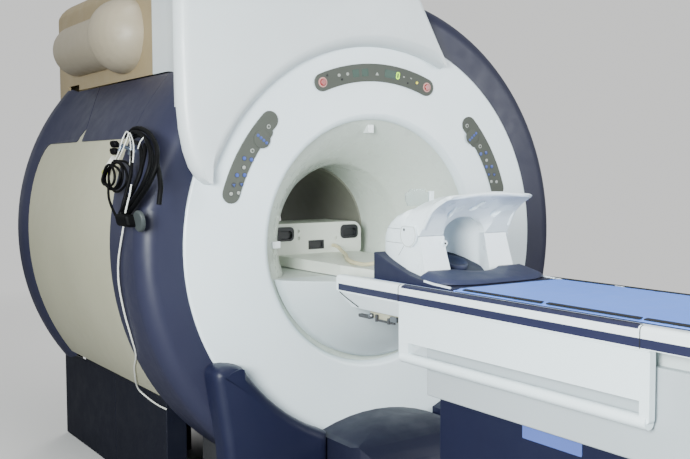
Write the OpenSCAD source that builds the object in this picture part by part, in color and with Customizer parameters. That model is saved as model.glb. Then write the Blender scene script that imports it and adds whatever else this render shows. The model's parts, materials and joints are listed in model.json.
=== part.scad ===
// Whole-body magnetic resonance scanner with its docked patient table.
// Origin on the floor straight below the isocentre, +X to the right seen from the
// patient end, +Y into the bore, +Z up. Millimetres.

/* [Magnet] */
// Diameter of the patient bore
bore_d = 600; // [560:1:620]
// Height of the isocentre above the floor
isocentre_h = 1067; // [1060:1:1075]
// Outside diameter of the round covers
ring_d = 2000; // [1980:1:2020]
// Width of the slate ring round the white front face
ring_border = 164; // [155:1:175]
// Distance from the isocentre to the front face, and to the rear face
magnet_half = 800; // [790:1:810]
// Wall of the moulded covers
shell_t = 12; // [8:0.5:13]
// Radius of the tight shoulder on the front ring
ring_shoulder = 70; // [40:1:90]
// Radius of the rim of the bore funnel, where it meets the face
lip_r = 487; // [480:1:500]
// Wall of the bore liner
liner_t = 11; // [6:0.5:11.5]
// Space between the vacuum vessel and the outside of the round covers
vessel_gap = 100; // [80:1:130]
// Radius of the warm bore of the vacuum vessel
vessel_bore_r = 450; // [430:1:470]
// Half length of the vacuum vessel
vessel_half = 640; // [600:1:660]

/* [Tower] */
// Distance from the bore's axis to the left wall of the tower
tower_left = 740; // [720:1:745]
// Distance from the bore's axis to the right wall of the tower
tower_right = 200; // [150:1:260]
// Height of the tower's roof above the top of the round covers
tower_rise = 113; // [103:1:133]
// Distance from the isocentre to the rear wall of the tower
tower_rear = 990; // [950:1:1000]
// Height of the front top cover above the tower's roof
top_cover_rise = 60; // [40:1:80]
// Radius of the duct cover on the tower's left wall
duct_r = 120; // [100:1:130]

/* [Base] */
// Half width of the plinth
plinth_half_w = 750; // [740:1:752]
// Height of the plinth
plinth_h = 430; // [400:1:432]
// Radius of the anchor holes in the feet
anchor_r = 11; // [6:0.5:13]
// Spacing of the anchor holes across the bore
anchor_x = 1200; // [1190:1:1210]
// Spacing of the anchor holes along the bore
anchor_y = 770; // [740:1:775]

/* [Table] */
// Width of the table over its mouldings
table_w = 600; // [596:1:604]
// Distance from the isocentre to the foot of the table
table_foot = 3300; // [3200:1:3400]
// Height of the top of the side mouldings
moulding_h = 967; // [964:1:980]
// Height at which the underside of the cradle glides
glide_h = 940; // [939.5:0.1:942]
// Height of the underside of the table's beam
beam_h = 860; // [858:1:865]
// Travel of the lift
lift_travel = 240; // [100:1:241]
// Travel of the cradle into the bore
cradle_travel = 1450; // [500:1:1500]
// Half width of the cradle
cradle_half_w = 245; // [235:1:247]
// Radius of the caster wheels
wheel_r = 55; // [45:1:58]

/* [Coil] */
// Half width of the coil's base
coil_half_w = 235; // [225:1:240]
// Height of the pivots of the coil's front arch
coil_pivot_h = 1130; // [1125:1:1135]
// Distance from the isocentre to the pivots of the arch
coil_pivot_y = 1300; // [1296:1:1304]

/* [Hidden] */
$fn = 72;

// Gap left between covers that sit against each other
fit = 0.4;
// More than any size in the model, for cutting blocks
far = 5000;
bore_r = bore_d / 2;
ring_r = ring_d / 2;
face_r = ring_r - ring_border;
vessel_r = ring_r - vessel_gap;
tower_h = isocentre_h + ring_r + tower_rise;
top_cover_h = tower_h + top_cover_rise;

// Angles about the bore, from +X up towards +Z
tower_angle_left = 180 - acos(tower_left / (ring_r + fit)) + 0.6;
tower_angle_right = acos(tower_right / (ring_r + fit)) - 0.6;
panel_top_angle = 155.5;
panel_bottom_angle = 216.2;
rear_ring_end = 218;
front_ring_end = 250;

// Cream side panels run between the two slate rings
ring_back_y = -490;
panel_back_y = 634;
ring_front_step = 8;
rear_ring_bulge = 18;

// Points on an arc about c, from angle a0 to a1
function arc(c, r, a0, a1, n = 6) =
    [for (i = [0 : n]) let (a = a0 + (a1 - a0) * i / n) [c[0] + r * cos(a), c[1] + r * sin(a)]];
// Points on a curve that leaves p0 towards p1 and arrives at p2 from p1
function curve(p0, p1, p2, n = 8) =
    [for (i = [0 : n]) let (t = i / n) (1 - t) * (1 - t) * p0 + 2 * t * (1 - t) * p1 + t * t * p2];
function unit(v) = v / norm(v);
function reversed(p) = [for (i = [len(p) - 1 : -1 : 0]) p[i]];
// A closed counter-clockwise strip outline moved inwards by d, less where the strip is narrow
function inset(p, d) =
    [for (i = [0 : len(p) - 1])
        let (a = p[(i + len(p) - 1) % len(p)], b = p[i], c = p[(i + 1) % len(p)],
             u = unit(b - a), v = unit(c - b), m = unit([-u[1] - v[1], u[0] + v[0]]),
             room = 0.3 * norm(b - p[len(p) - 1 - i]))
        b + m * min(d / max(0.5, m * [-v[1], v[0]]), room)];

// Turns a profile, drawn as radius and Y, about the bore's axis
module turned(from = 0, sweep = 360)
    translate([0, 0, isocentre_h]) rotate([90, 0, 0]) rotate([0, 0, from])
        rotate_extrude(angle = sweep, $fn = 144) mirror([0, 1]) children();

// Extrudes an outline, drawn as X and Z, from y0 back to y1
module along_y(y0, y1)
    translate([0, y1, 0]) rotate([90, 0, 0]) linear_extrude(y1 - y0) children();

// Extrudes an outline, drawn as Y and Z, from x0 to x1
module along_x(x0, x1)
    translate([x0, 0, 0]) rotate([90, 0, 90]) linear_extrude(x1 - x0) children();

// Extrudes an outline, drawn as X and Y, from z0 up to z1
module along_z(z0, z1)
    translate([0, 0, z0]) linear_extrude(z1 - z0) children();

// A box from one corner to the other
module block(a, b) translate(a) cube(b - a);

// A round bar about the bore's axis
module bore_bar(r, y0, y1)
    translate([0, y1, isocentre_h]) rotate([90, 0, 0]) cylinder(r = r, h = y1 - y0, $fn = 144);

// The part on the left, mirrored to the right
module on_right() mirror([1, 0, 0]) children();
module on_both() { children(); on_right() children(); }

// Skins a stack of rings of points into a closed solid with flat or fanned ends
module skin(rings) {
    n = len(rings[0]);
    m = len(rings);
    polyhedron(
        points = [for (r = rings) each r],
        faces = concat(
            [[for (i = [0 : n - 1]) i]],
            [for (k = [0 : m - 2]) for (i = [0 : n - 1]) let (j = (i + 1) % n)
                each [[k * n + i, (k + 1) * n + i, (k + 1) * n + j], [k * n + i, (k + 1) * n + j, k * n + j]]],
            [[for (i = [n - 1 : -1 : 0]) (m - 1) * n + i]]));
}

// Skins a ribbon: each ring is one edge's points followed by the other edge's points in reverse,
// so the two ends close in strips
module ribbon(rings) {
    n = len(rings[0]);
    m = len(rings);
    h = n / 2;
    function strip(o, flip) =
        [for (i = [0 : h - 2]) let (q = [o + i, o + i + 1, o + n - 2 - i, o + n - 1 - i])
            each flip ? [[q[0], q[2], q[1]], [q[0], q[3], q[2]]] : [[q[0], q[1], q[2]], [q[0], q[2], q[3]]]];
    polyhedron(
        points = [for (r = rings) each r],
        faces = concat(
            strip(0, false),
            [for (k = [0 : m - 2]) for (i = [0 : n - 1]) let (j = (i + 1) % n)
                each [[k * n + i, (k + 1) * n + i, (k + 1) * n + j], [k * n + i, (k + 1) * n + j, k * n + j]]],
            strip((m - 1) * n, true)));
}

// A plate drawn as a strip outline in X and Z, with its front edge rounded by r
module soft_plate(outline, y_front, y_back, r, steps = 4) {
    ribbon(concat(
        [for (k = [0 : steps]) let (a = 90 - 90 * k / steps)
            [for (p = reversed(inset(outline, r * (1 - cos(a))))) [p[0], y_front + r * (1 - sin(a)), p[1]]]],
        [[for (p = reversed(outline)) [p[0], y_back, p[1]]]]));
}

// Sweeps a tube of radius r with s sides along a list of points
module tube(path, r, s = 8) {
    n = len(path);
    function heading(i) = unit(path[min(i + 1, n - 1)] - path[max(i - 1, 0)]);
    function side(i) = let (h = heading(i)) unit(cross(h, abs(h[2]) > 0.9 ? [0, 1, 0] : [0, 0, 1]));
    skin([for (i = [0 : n - 1]) let (u = side(i), v = cross(heading(i), u))
        [for (k = [0 : s - 1]) path[i] + r * (cos(360 * k / s) * u + sin(360 * k / s) * v)]]);
}

// Points on a smooth line through the given points, at steps of t
function through(p, per = 3) = let (n = len(p)) concat(
    [for (i = [0 : n - 2]) for (k = [0 : per - 1])
        let (t = k / per, a = p[max(i - 1, 0)], b = p[i], c = p[i + 1], d = p[min(i + 2, n - 1)])
        0.5 * (2 * b + (c - a) * t + (2 * a - 5 * b + 4 * c - d) * t * t + (3 * b - a - 3 * c + d) * t * t * t)],
    [p[n - 1]]);

// Magnet inside the covers
coil_windings = [[-560, 90], [-330, 70], [-130, 50], [80, 50], [260, 70], [470, 90]];
winding_r = [525, 575];
gradient_r = [340, vessel_bore_r - fit];
gradient_y = [-505, 505];
liner_front_y = -239;
body_coil_r = [bore_r + liner_t + fit, gradient_r[0] - 0.5];
body_coil_half = -liner_front_y - 4;
former_t = 25;
former_foot_w = 30;
neck_pos = [-270, 100];
neck_r = 90;
port_r = 60;

module vacuum_vessel() color("lightslategray") difference() {
    turned() difference() {
        translate([vessel_bore_r, -vessel_half]) square([vessel_r - vessel_bore_r, 2 * vessel_half]);
        translate([vessel_bore_r + shell_t, -vessel_half + shell_t])
            square([vessel_r - vessel_bore_r - 2 * shell_t, 2 * (vessel_half - shell_t)]);
    }
    translate([neck_pos[0], neck_pos[1], isocentre_h + vessel_r / 2]) cylinder(r = port_r, h = vessel_r);
}

// Windings on their former, which stands on the vessel's inner wall at both ends
module main_coils() color("peru") {
    former_y = [coil_windings[0][0] - 10, coil_windings[5][0] + coil_windings[5][1] + 10];
    for (w = coil_windings) turned()
        translate([winding_r[0] - 1, w[0]]) square([winding_r[1] - winding_r[0] + 1, w[1]]);
    turned() {
        translate([winding_r[0] - former_t, former_y[0]]) square([former_t, former_y[1] - former_y[0]]);
        for (y = [former_y[0], former_y[1] - former_foot_w])
            translate([vessel_bore_r + shell_t + fit, y])
                square([winding_r[0] - former_t - vessel_bore_r - shell_t + 1, former_foot_w]);
    }
}

module gradient_coil() color("goldenrod")
    turned() translate([gradient_r[0], gradient_y[0]])
        square([gradient_r[1] - gradient_r[0], gradient_y[1] - gradient_y[0]]);

module body_coil() color("peru")
    turned() translate([body_coil_r[0], -body_coil_half])
        square([body_coil_r[1] - body_coil_r[0], 2 * body_coil_half]);

// Cold head: a neck on the vessel, its flange, the head's body and the drive beside it
neck_foot_z = isocentre_h + sqrt(pow(vessel_r, 2) - pow(abs(neck_pos[0]) + neck_r, 2));
head_top_z = tower_h - 40;
flange_z = head_top_z - 140;
module cold_head() color("silver") difference() {
    translate([neck_pos[0], neck_pos[1], 0]) union() {
        translate([0, 0, neck_foot_z]) cylinder(r = neck_r, h = flange_z - neck_foot_z);
        translate([0, 0, flange_z - 10]) cylinder(r = neck_r + 20, h = 30);
        translate([0, 0, flange_z + 10]) cylinder(r = 55, h = head_top_z - flange_z - 10);
        translate([0, 70, flange_z + 10]) cylinder(r = 38, h = 80);
        translate([-12, 0, flange_z + 45]) cube([24, 70, 24]);
    }
    bore_bar(vessel_r + fit, -vessel_half, vessel_half);
}

// Feet: a saddle under the vessel and a flange with an anchor hole
foot_w = 200;
foot_flange_t = 20;
plinth_return = 90;
foot_reach = plinth_half_w - plinth_return - fit - anchor_x / 2 + 150;
module magnet_feet() color("dimgray") difference() {
    for (sx = [-1, 1]) for (sy = [-1, 1]) {
        translate([sx * (anchor_x / 2 - 160) - foot_w / 2, sy * anchor_y / 2 - foot_w / 2, 0])
            cube([foot_w, foot_w, 340]);
        translate([sx * (anchor_x / 2 - 150) + (sx < 0 ? -foot_reach : 0), sy * anchor_y / 2 - foot_w / 2, 0])
            cube([foot_reach, foot_w, foot_flange_t]);
    }
    bore_bar(vessel_r + fit, -far, far);
    for (sx = [-1, 1]) for (sy = [-1, 1])
        translate([sx * anchor_x / 2, sy * anchor_y / 2, -1]) cylinder(r = anchor_r, h = foot_flange_t + 2);
}

// Front face, bore funnel, liner and chin
face_y = -magnet_half;
lip_round = 28;
throat_r = bore_r + 9;
throat_y = -520;
funnel_top_y = face_y + lip_round;
funnel_bend = [throat_r + 66, face_y + 110];
function funnel_line(grow) = curve([lip_r + grow, funnel_top_y + fit], funnel_bend + [grow, grow], [throat_r + grow, throat_y], 10);

module front_cover() color("white") turned() polygon(concat(
    arc([face_r - 10, face_y + 10], 10, 0, -90, 4),
    arc([lip_r + lip_round, face_y + lip_round], lip_round, 270, 180, 6),
    arc([lip_r + lip_round, face_y + lip_round], lip_round - shell_t, 180, 270, 4),
    [[face_r - shell_t, face_y + shell_t], [face_r - shell_t, face_y + 2 * shell_t], [face_r, face_y + 2 * shell_t]]));

module bore_funnel() color("gainsboro") turned() polygon(concat(
    funnel_line(0),
    [[throat_r, liner_front_y - fit], [throat_r + shell_t, liner_front_y - fit]],
    reversed(funnel_line(shell_t))));

module bore_liner() color("darkgray") turned()
    translate([bore_r, liner_front_y]) square([liner_t, -liner_front_y - throat_y]);

// The air inside the funnel and bore, drawn back from its walls by g
module bore_air(g) turned() polygon(concat(
    [[0, funnel_top_y + fit]],
    [for (p = funnel_line(0)) p - [g, 0]],
    [[throat_r - g, liner_front_y], [bore_r - g, liner_front_y], [bore_r - g, magnet_half + 800], [0, magnet_half + 800]]));

chin_rim_r = 466;
chin_rise = 250;
chin_top = 937;
chin_rim_y = face_y - 5;
chin_sphere_r = (pow(chin_rim_r, 2) + pow(chin_rise, 2)) / (2 * chin_rise);
chin_centre_y = chin_rim_y - chin_rise + chin_sphere_r;
chin_skirt_y = -757;
// Profile of the ball, drawn back from its skin by t
function chin_line(t) = let (
    r = chin_sphere_r - t, tip = chin_centre_y - r, rim = sqrt(pow(r, 2) - pow(chin_centre_y - chin_rim_y, 2)))
    [for (i = [0 : 12]) let (a = asin(rim / r) * i / 12) [r * sin(a), chin_centre_y - r * cos(a)]];
module chin_cover() color("white") {
    intersection() {
        turned() polygon(concat(
            chin_line(0), [[chin_rim_r, chin_skirt_y], [chin_rim_r - shell_t, chin_skirt_y]], reversed(chin_line(shell_t))));
        block([-far, -far, 0], [far, far, chin_top]);
    }
    intersection() {
        turned() polygon(concat(chin_line(shell_t / 2), [[chin_rim_r - shell_t / 2, chin_skirt_y], [0, chin_skirt_y]]));
        block([-far, -far, chin_top - shell_t], [far, far, chin_top]);
    }
}

// Slate rings
module ring_shell(r, from, sweep) turned(from, sweep) polygon(concat(
    [[face_r + fit, face_y + ring_front_step]],
    arc([r - ring_shoulder, face_y + ring_front_step + ring_shoulder], ring_shoulder, -90, 0, 8),
    [[r, ring_back_y], [r - shell_t, ring_back_y]],
    arc([r - ring_shoulder, face_y + ring_front_step + ring_shoulder], ring_shoulder - shell_t, 0, -90, 8),
    [[face_r + fit, face_y + ring_front_step + shell_t]]));

// The joint between the front and rear shoulder panels, drawn as Y and Z
shoulder_low = isocentre_h + ring_r * sin(panel_top_angle) - 3;
shoulder_high = isocentre_h + ring_r;
seam_line = curve([98, shoulder_low + 55], [150, shoulder_low + 150], [328, shoulder_low + 265], 6);
seam_gap = 7;
module front_shoulder_side() polygon(concat(
    [[ring_back_y - 1, shoulder_low], [70, shoulder_low]],
    arc([78, shoulder_low + 12], 12, -90, 0, 4),
    seam_line, [[600, shoulder_high], [ring_back_y - 1, shoulder_high]]));
module rear_shoulder_side() polygon(concat(
    [[panel_back_y + 1, shoulder_high], [607, shoulder_high]],
    [for (i = [len(seam_line) - 1 : -1 : 0]) seam_line[i] + [seam_gap, 0]],
    arc([seam_line[0][0] + seam_gap + 60, shoulder_low + 24], 24, 190, 270, 4),
    [[540, shoulder_low]],
    curve([540, shoulder_low], [640, shoulder_low], [panel_back_y + 1, shoulder_low - 230], 6)));

module shoulder_shell(from, sweep, y0, y1) turned(from, sweep)
    translate([ring_r - shell_t, y0]) square([shell_t, y1 - y0]);

module front_ring(top_angle) color("#42486a") {
    ring_shell(ring_r, top_angle, front_ring_end - top_angle);
    if (top_angle < panel_top_angle) intersection() {
        shoulder_shell(top_angle, panel_top_angle - top_angle + 2, ring_back_y - 1, panel_back_y);
        along_x(-far, far) front_shoulder_side();
    }
}
// On the left the shoulder grows towards the tower, up to the flared flank of the top cover
taper_end = 171;
// The tapered wall sits this far inside the turned wall that it runs into
taper_skin = 0.5;
function taper_ring(a) = let (
    w = pow(max(0, (taper_end - a) / (taper_end - tower_angle_left)), 0.9),
    y0 = face_y + ring_front_step, ys = y0 + ring_shoulder + w * (ring_back_y - 6 - y0 - ring_shoulder),
    line = concat([[face_r + 2, y0]], curve([ring_r - ring_shoulder - 30 * w, y0], [ring_r - 14 * w, y0 + 36 * w], [ring_r, ys], 7),
        [[ring_r, ring_back_y]]),
    outer = [for (p = line) p + taper_skin * [-1, 1]],
    inner = [for (p = line) p + (shell_t - taper_skin) * [-1, 1]])
    [for (p = concat(outer, reversed(inner))) let (r = max(p[0], face_r + 1))
        [r * cos(a), min(p[1], ring_back_y), isocentre_h + r * sin(a)]];
module front_ring_left() {
    front_ring(taper_end - 0.3);
    color("#42486a") ribbon([for (i = [13 : -1 : 0]) taper_ring(taper_end + (tower_angle_left - taper_end) * i / 13)]);
    color("#42486a") intersection() {
        shoulder_shell(tower_angle_left, panel_top_angle - tower_angle_left + 2, ring_back_y - 1, panel_back_y);
        along_x(-far, far) front_shoulder_side();
    }
}
module front_ring_right() on_right() front_ring(180 - tower_angle_right);

module rear_ring(top_angle) color("#42486a") {
    turned(top_angle, rear_ring_end - top_angle) polygon(concat(
        [[ring_r - shell_t, panel_back_y + fit], [ring_r, panel_back_y + fit], [ring_r + rear_ring_bulge, panel_back_y + 35]],
        arc([ring_r + rear_ring_bulge - 60, magnet_half - 60], 60, 0, 90, 5),
        [[face_r + fit, magnet_half], [face_r + fit, magnet_half - shell_t]],
        arc([ring_r + rear_ring_bulge - 60, magnet_half - 60], 60 - shell_t, 90, 0, 5),
        [[ring_r + rear_ring_bulge - shell_t, panel_back_y + 40]]));
    intersection() {
        shoulder_shell(top_angle, 172 - top_angle, 0, panel_back_y + 1);
        along_x(-far, far) rear_shoulder_side();
    }
}
module rear_ring_left() rear_ring(tower_angle_left);
module rear_ring_right() on_right() rear_ring(180 - tower_angle_right);

// Cream side panel, let in 2 mm below the slate
module side_panel() color("#beb8a5") difference() {
    turned(panel_top_angle - 4, panel_bottom_angle - panel_top_angle + 4)
        translate([ring_r - shell_t - 2, ring_back_y + fit]) square([shell_t, panel_back_y - ring_back_y - fit]);
    along_x(-far, far) offset(delta = fit) front_shoulder_side();
    along_x(-far, far) offset(delta = fit) rear_shoulder_side();
}
module side_panel_left() side_panel();
module side_panel_right() on_right() side_panel();

// White top cover in front of the tower
top_arc_r = face_r - 61;
top_tip_angle = 162.2;
top_right_angle = 65.2;
top_left_x = 865;
top_y = face_y - 50;
top_round = 45;
function top_outline() = let (
    n = 22,
    low = [for (i = [0 : n]) let (a = top_tip_angle + (top_right_angle - top_tip_angle) * i / n)
        [top_arc_r * cos(a), isocentre_h + top_arc_r * sin(a)]],
    tip = low[0], end = low[n],
    high = concat(
        curve(tip + [-18, 2], [-845, 1340], [-top_left_x + 6, 1590], 5),
        [[-top_left_x, 1800], [-top_left_x, 2000]],
        arc([-top_left_x + 60, top_cover_h - 60], 60, 180, 90, 5),
        [for (i = [1 : 5]) [-top_left_x + 60 + i * (top_left_x - 60 + 50) / 5, top_cover_h]],
        arc([72, top_cover_h - 60], 60, 90, 30, 2),
        [end + [6, 22]]))
    concat(low, reversed(high));

// Its flanks lead back to the tower, flaring from the tower's walls to the width of the plate
tower_front_y = -300;
module top_flanks(t) intersection() {
    along_y(face_y - 1, tower_front_y + (t > 0 ? 1 : -fit)) polygon(t > 0 ? inset(top_outline(), t) : top_outline());
    along_z(0, far) polygon(concat(
        [[-tower_left + t, tower_front_y + 2]],
        curve([-tower_left + t, -450], [-tower_left - 5 + t, -620], [-top_left_x + t, face_y], 6),
        [[-top_left_x + t, face_y - 2], [345 - t, face_y - 2]],
        curve([345 - t, face_y], [tower_right + 10 - t, -620], [tower_right - t, -450], 5),
        [[tower_right - t, tower_front_y + 2]]));
    along_x(-far, far) polygon([
        [face_y - 2, 0], [face_y - 2, top_cover_h - t], [-700, top_cover_h - t], [-420, tower_h - t],
        [tower_front_y + 2, tower_h - t], [tower_front_y + 2, 0]]);
}
module front_top_cover() color("white") difference() {
    union() {
        soft_plate(top_outline(), top_y, face_y - fit, top_round);
        top_flanks(0);
    }
    soft_plate(inset(top_outline(), shell_t), top_y + shell_t, face_y + 2, top_round - shell_t);
    top_flanks(shell_t);
    bore_bar(ring_r + fit, face_y - fit, far);
}

// Tower: one moulding with round rear and roof edges, open at the front and below
tower_seat_z = isocentre_h + sqrt(pow(ring_r, 2) - pow(tower_left, 2));
tower_drop_z = tower_h - 730;
module tower_form(t, drop) intersection() {
    along_y(tower_front_y - (t > 0 ? 1 : 0), far) polygon(concat(
        [[tower_right - t, 0]],
        arc([tower_right - 60, tower_h - 60], 60 - t, 0, 90, 6),
        arc([-tower_left + 80, tower_h - 80], 80 - t, 90, 180, 6),
        [[-tower_left + t, 0]]));
    along_x(-far, far) polygon(concat(
        [[-far, drop], [tower_rear - t, drop]],
        arc([tower_rear - 200, tower_h - 200], 200 - t, 0, 90, 10),
        [[-far, tower_h - t]]));
    along_z(0, far) polygon(concat(
        [[-far, -far], [far, -far], [far, 0], [tower_right - t, 0]],
        arc([tower_right - 60, tower_rear - 60], 60 - t, 0, 90, 5),
        arc([-tower_left + 60, tower_rear - 60], 60 - t, 90, 180, 5),
        [[-tower_left + t, 0], [-far, 0]]));
}
module tower_cover() color("#c9c2ad") difference() {
    tower_form(0, tower_drop_z);
    tower_form(shell_t, tower_drop_z - 1);
    block([-far, -far, 0], [far, magnet_half + 60, tower_drop_z + 260]);
    bore_bar(ring_r + rear_ring_bulge + fit, panel_back_y, magnet_half + fit);
    bore_bar(ring_r + fit, -far, panel_back_y + fit);
    block([-far, -far, 0], [far, magnet_half + fit, tower_drop_z + 200]);
}

// Duct cover: half round, with a bell nose at its front end
duct_z = tower_h - 255;
duct_back_y = 690;
module duct_cover() color("#c9c2ad") intersection() {
    translate([-tower_left - fit, 0, duct_z]) rotate([-90, 0, 0]) rotate_extrude() polygon(concat(
        [[0, -215]],
        curve([0, -215], [165, -200], [158, 20], 7),
        curve([158, 20], [140, 70], [duct_r, 90], 3),
        arc([duct_r - 55, duct_back_y - 55], 55, 0, 90, 5),
        [[0, duct_back_y]]));
    block([-far, -far, 0], [-tower_left - fit, far, far]);
}

module rear_cover() color("whitesmoke") turned() polygon(concat(
    arc([face_r - 10, magnet_half - 10], 10, 0, 90, 4),
    arc([lip_r + lip_round, magnet_half - lip_round], lip_round, 90, 180, 6),
    [for (p = funnel_line(0)) if (p[1] > funnel_top_y + 5) [p[0], -p[1]]],
    [[throat_r + shell_t, -throat_y]],
    reversed([for (p = funnel_line(shell_t)) if (p[1] > funnel_top_y + 5) [p[0], -p[1]]]),
    arc([lip_r + lip_round, magnet_half - lip_round], lip_round - shell_t, 180, 90, 4),
    [[face_r - shell_t, magnet_half - shell_t], [face_r - shell_t, magnet_half - 2 * shell_t], [face_r, magnet_half - 2 * shell_t]]));

// Navy plinth on both sides, each in a front and a rear piece
cover_lift = 3;
plinth_y = [-400, 190, 930];
module plinth_half() {
    for (i = [0, 1]) difference() {
        block([-plinth_half_w, plinth_y[i] + (i > 0 ? fit : 0), cover_lift], [-plinth_half_w + plinth_return, plinth_y[i + 1], plinth_h]);
        block([-plinth_half_w + shell_t, plinth_y[i] + (i > 0 ? -1 : shell_t), -1],
            [0, plinth_y[i + 1] - (i > 0 ? shell_t : -1), plinth_h - shell_t]);
        block([-plinth_half_w + shell_t, plinth_y[i] - 1, plinth_h - shell_t - 1], [0, far, far]);
    }
}
module plinth() color("#232a4b") on_both() plinth_half();

// Front wings beside the dock
wing_front_y = -900;
wing_back_y = face_y - fit;
wing_inner_r = face_r - 61;
wing_foot_x = 289;
wing_round = 38;
function wing_outline() = let (
    n = 16,
    a0 = 213.4, a1 = 180 + asin(sqrt(1 - pow(wing_foot_x / wing_inner_r, 2))),
    inner = [for (i = [0 : n - 2]) let (a = a0 + (a1 - a0) * i / (n - 2)) [wing_inner_r * cos(a), isocentre_h + wing_inner_r * sin(a)]],
    low = [[-wing_foot_x, 180], [-wing_foot_x, cover_lift]],
    outer = concat(
        curve([-666, 646], [-778, 672], [-762, 596], 6),
        curve([-757, 560], [-735, 430], [-723, 351], 4),
        [for (i = [1 : 5]) [-723 + 4.5 * i, 351 - i * (351 - cover_lift) / 5]]))
    concat(outer, reversed(concat(inner, low)));
module wing() color("#232a4b") difference() {
    soft_plate(wing_outline(), wing_front_y, wing_back_y, wing_round);
    soft_plate(inset(wing_outline(), shell_t), wing_front_y + shell_t, wing_back_y + 1, wing_round - shell_t);
}
module wing_left() wing();
module wing_right() on_right() wing();

// Low dark cover over the table's dock
dock_half_w = 285;
dock_front_y = -1150;
dock_h = 380;
module dock_form(t) intersection() {
    along_y(dock_front_y + t, face_y - fit + (t > 0 ? 1 : 0)) polygon(concat(
        [[dock_half_w - t, t > 0 ? -1 : cover_lift], [dock_half_w - t, 300]],
        arc([0, -362], 742 - t, 64.5, 115.5, 10),
        [[-dock_half_w + t, 300], [-dock_half_w + t, t > 0 ? -1 : cover_lift]]));
    along_x(-far, far) polygon(concat(
        [[face_y + 1, -1], [face_y + 1, dock_h + 5 - t]],
        curve([face_y - 60, dock_h + 5 - t], [dock_front_y + 60, dock_h - t], [dock_front_y + t, 230], 8),
        [[dock_front_y + t, -1]]));
    along_z(-1, far) polygon(concat(
        [[dock_half_w - t, face_y + 1], [-dock_half_w + t, face_y + 1]],
        curve([-dock_half_w + t, dock_front_y + 110], [-dock_half_w + 30, dock_front_y + t], [-120, dock_front_y + t], 5),
        curve([120, dock_front_y + t], [dock_half_w - 30, dock_front_y + t], [dock_half_w - t, dock_front_y + 110], 5)));
}
module dock_cover() color("#3b4160") difference() {
    dock_form(0);
    dock_form(shell_t);
}

// Display and keypads on the face
display_r = face_r - 162;
display_half_w = 35;
display_half_angle = 22;
panel_t = 8;
keypad_r = face_r - 158;
keypad_angles = [17.3, 44.5];
keypad_t = 5;
button_r = 14;
button_travel = 4;
// Outline in X and Z of a band about the bore with round ends
function arc_outline(r, half_w, a0, a1, n = 16) = concat(
    [for (p = arc([0, 0], r + half_w, a0, a1, n)) p],
    [for (p = arc([r * cos(a1), r * sin(a1)], half_w, a1 + 15, a1 + 165, 8)) p],
    [for (p = arc([0, 0], r - half_w, a1, a0, n)) p],
    [for (p = arc([r * cos(a0), r * sin(a0)], half_w, a0 + 195, a0 + 345, 8)) p]);
module arc_panel(r, half_w, a0, a1, t)
    along_y(face_y - t, face_y) translate([0, isocentre_h]) polygon(arc_outline(r, half_w, a0, a1));
module button_place(side) translate([side * display_r * sin(display_half_angle), face_y, isocentre_h + display_r * cos(display_half_angle)])
    rotate([90, 0, 0]) children();
module display_panel() color("#84878a") difference() {
    arc_panel(display_r, display_half_w, 90 - display_half_angle, 90 + display_half_angle, panel_t);
    for (s = [-1, 1]) button_place(s) translate([0, 0, 2]) cylinder(r = button_r + 0.5, h = panel_t);
}
module stop_button(side) color("firebrick") button_place(side) translate([0, 0, 2 + button_travel + 0.3]) {
    cylinder(r = button_r, h = panel_t - 2 - button_travel + 4);
    translate([0, 0, panel_t - 2 - button_travel + 4]) cylinder(r1 = button_r, r2 = button_r - 2, h = 2);
}
module stop_button_left() stop_button(-1);
module stop_button_right() stop_button(1);

module keypad() color("#84878a") {
    arc_panel(keypad_r, display_half_w, keypad_angles[0], keypad_angles[1], keypad_t);
    arc_panel(keypad_r - 22, 24, keypad_angles[1] - 6.5, keypad_angles[1] - 3.5, keypad_t);
}
module keypad_right() keypad();
module keypad_left() on_right() keypad();

// Windows of the alignment lights, on the funnel's wall
window_r = 424;
module light_windows() color("azure") intersection() {
    for (a = [90, 180, 0]) let (deep = a == 90 ? 452 : window_r)
        translate([deep * cos(a), a == 90 ? -746 : -716, isocentre_h + deep * sin(a)]) rotate([0, -a, 0])
            cube([34, 46, 26], center = true);
    bore_air(fit);
}

// Bridge that carries the cradle through the bore and out behind
bridge_top = chin_top - 0.1;
bridge_t = 24;
bridge_half_w = 200;
bridge_back_y = 1400;
rail_x = 150;
module bridge() color("gainsboro") difference() {
    union() {
        intersection() {
            block([-far, chin_skirt_y + fit, bridge_top - bridge_t], [far, -throat_y, bridge_top]);
            bore_air(0.5);
        }
        block([-bridge_half_w, -throat_y - 1, bridge_top - bridge_t], [bridge_half_w, bridge_back_y, bridge_top]);
        for (s = [-1, 1]) block([s * rail_x - 15, -throat_y + 30, bridge_top - 70], [s * rail_x + 15, bridge_back_y - 60, bridge_top]);
    }
    for (s = [-1, 1]) block([s * rail_x - 4, chin_skirt_y + 60, bridge_top - 5], [s * rail_x + 4, bridge_back_y - 20, bridge_top + 1]);
}

pedestal_y = [1180, 1330];
module rear_pedestal() color("#232a4b") {
    along_y(pedestal_y[0], pedestal_y[1]) polygon([[-130, 20], [130, 20], [100, bridge_top - 70], [-100, bridge_top - 70]]);
    block([-180, pedestal_y[0] - 60, 0], [180, pedestal_y[1] + 60, 20]);
    block([-190, pedestal_y[0], bridge_top - 90], [190, pedestal_y[1], bridge_top - 70]);
}

// Hook on the front ring that carries spare leads
hook_pos = [-945, -560, 1430];
hook_angle = 158.5;
module lead_hook() color("lightsteelblue")
    translate([0, hook_pos[1], isocentre_h]) rotate([0, -hook_angle, 0]) translate([ring_r + fit, 0, 0]) {
        rotate([0, 90, 0]) cylinder(r = 24, h = 6);
        rotate([0, 90, 0]) cylinder(r = 7, h = 50);
        translate([44, 0, -7]) rotate([0, 0, 0]) cylinder(r = 6, h = 30);
    }

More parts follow.
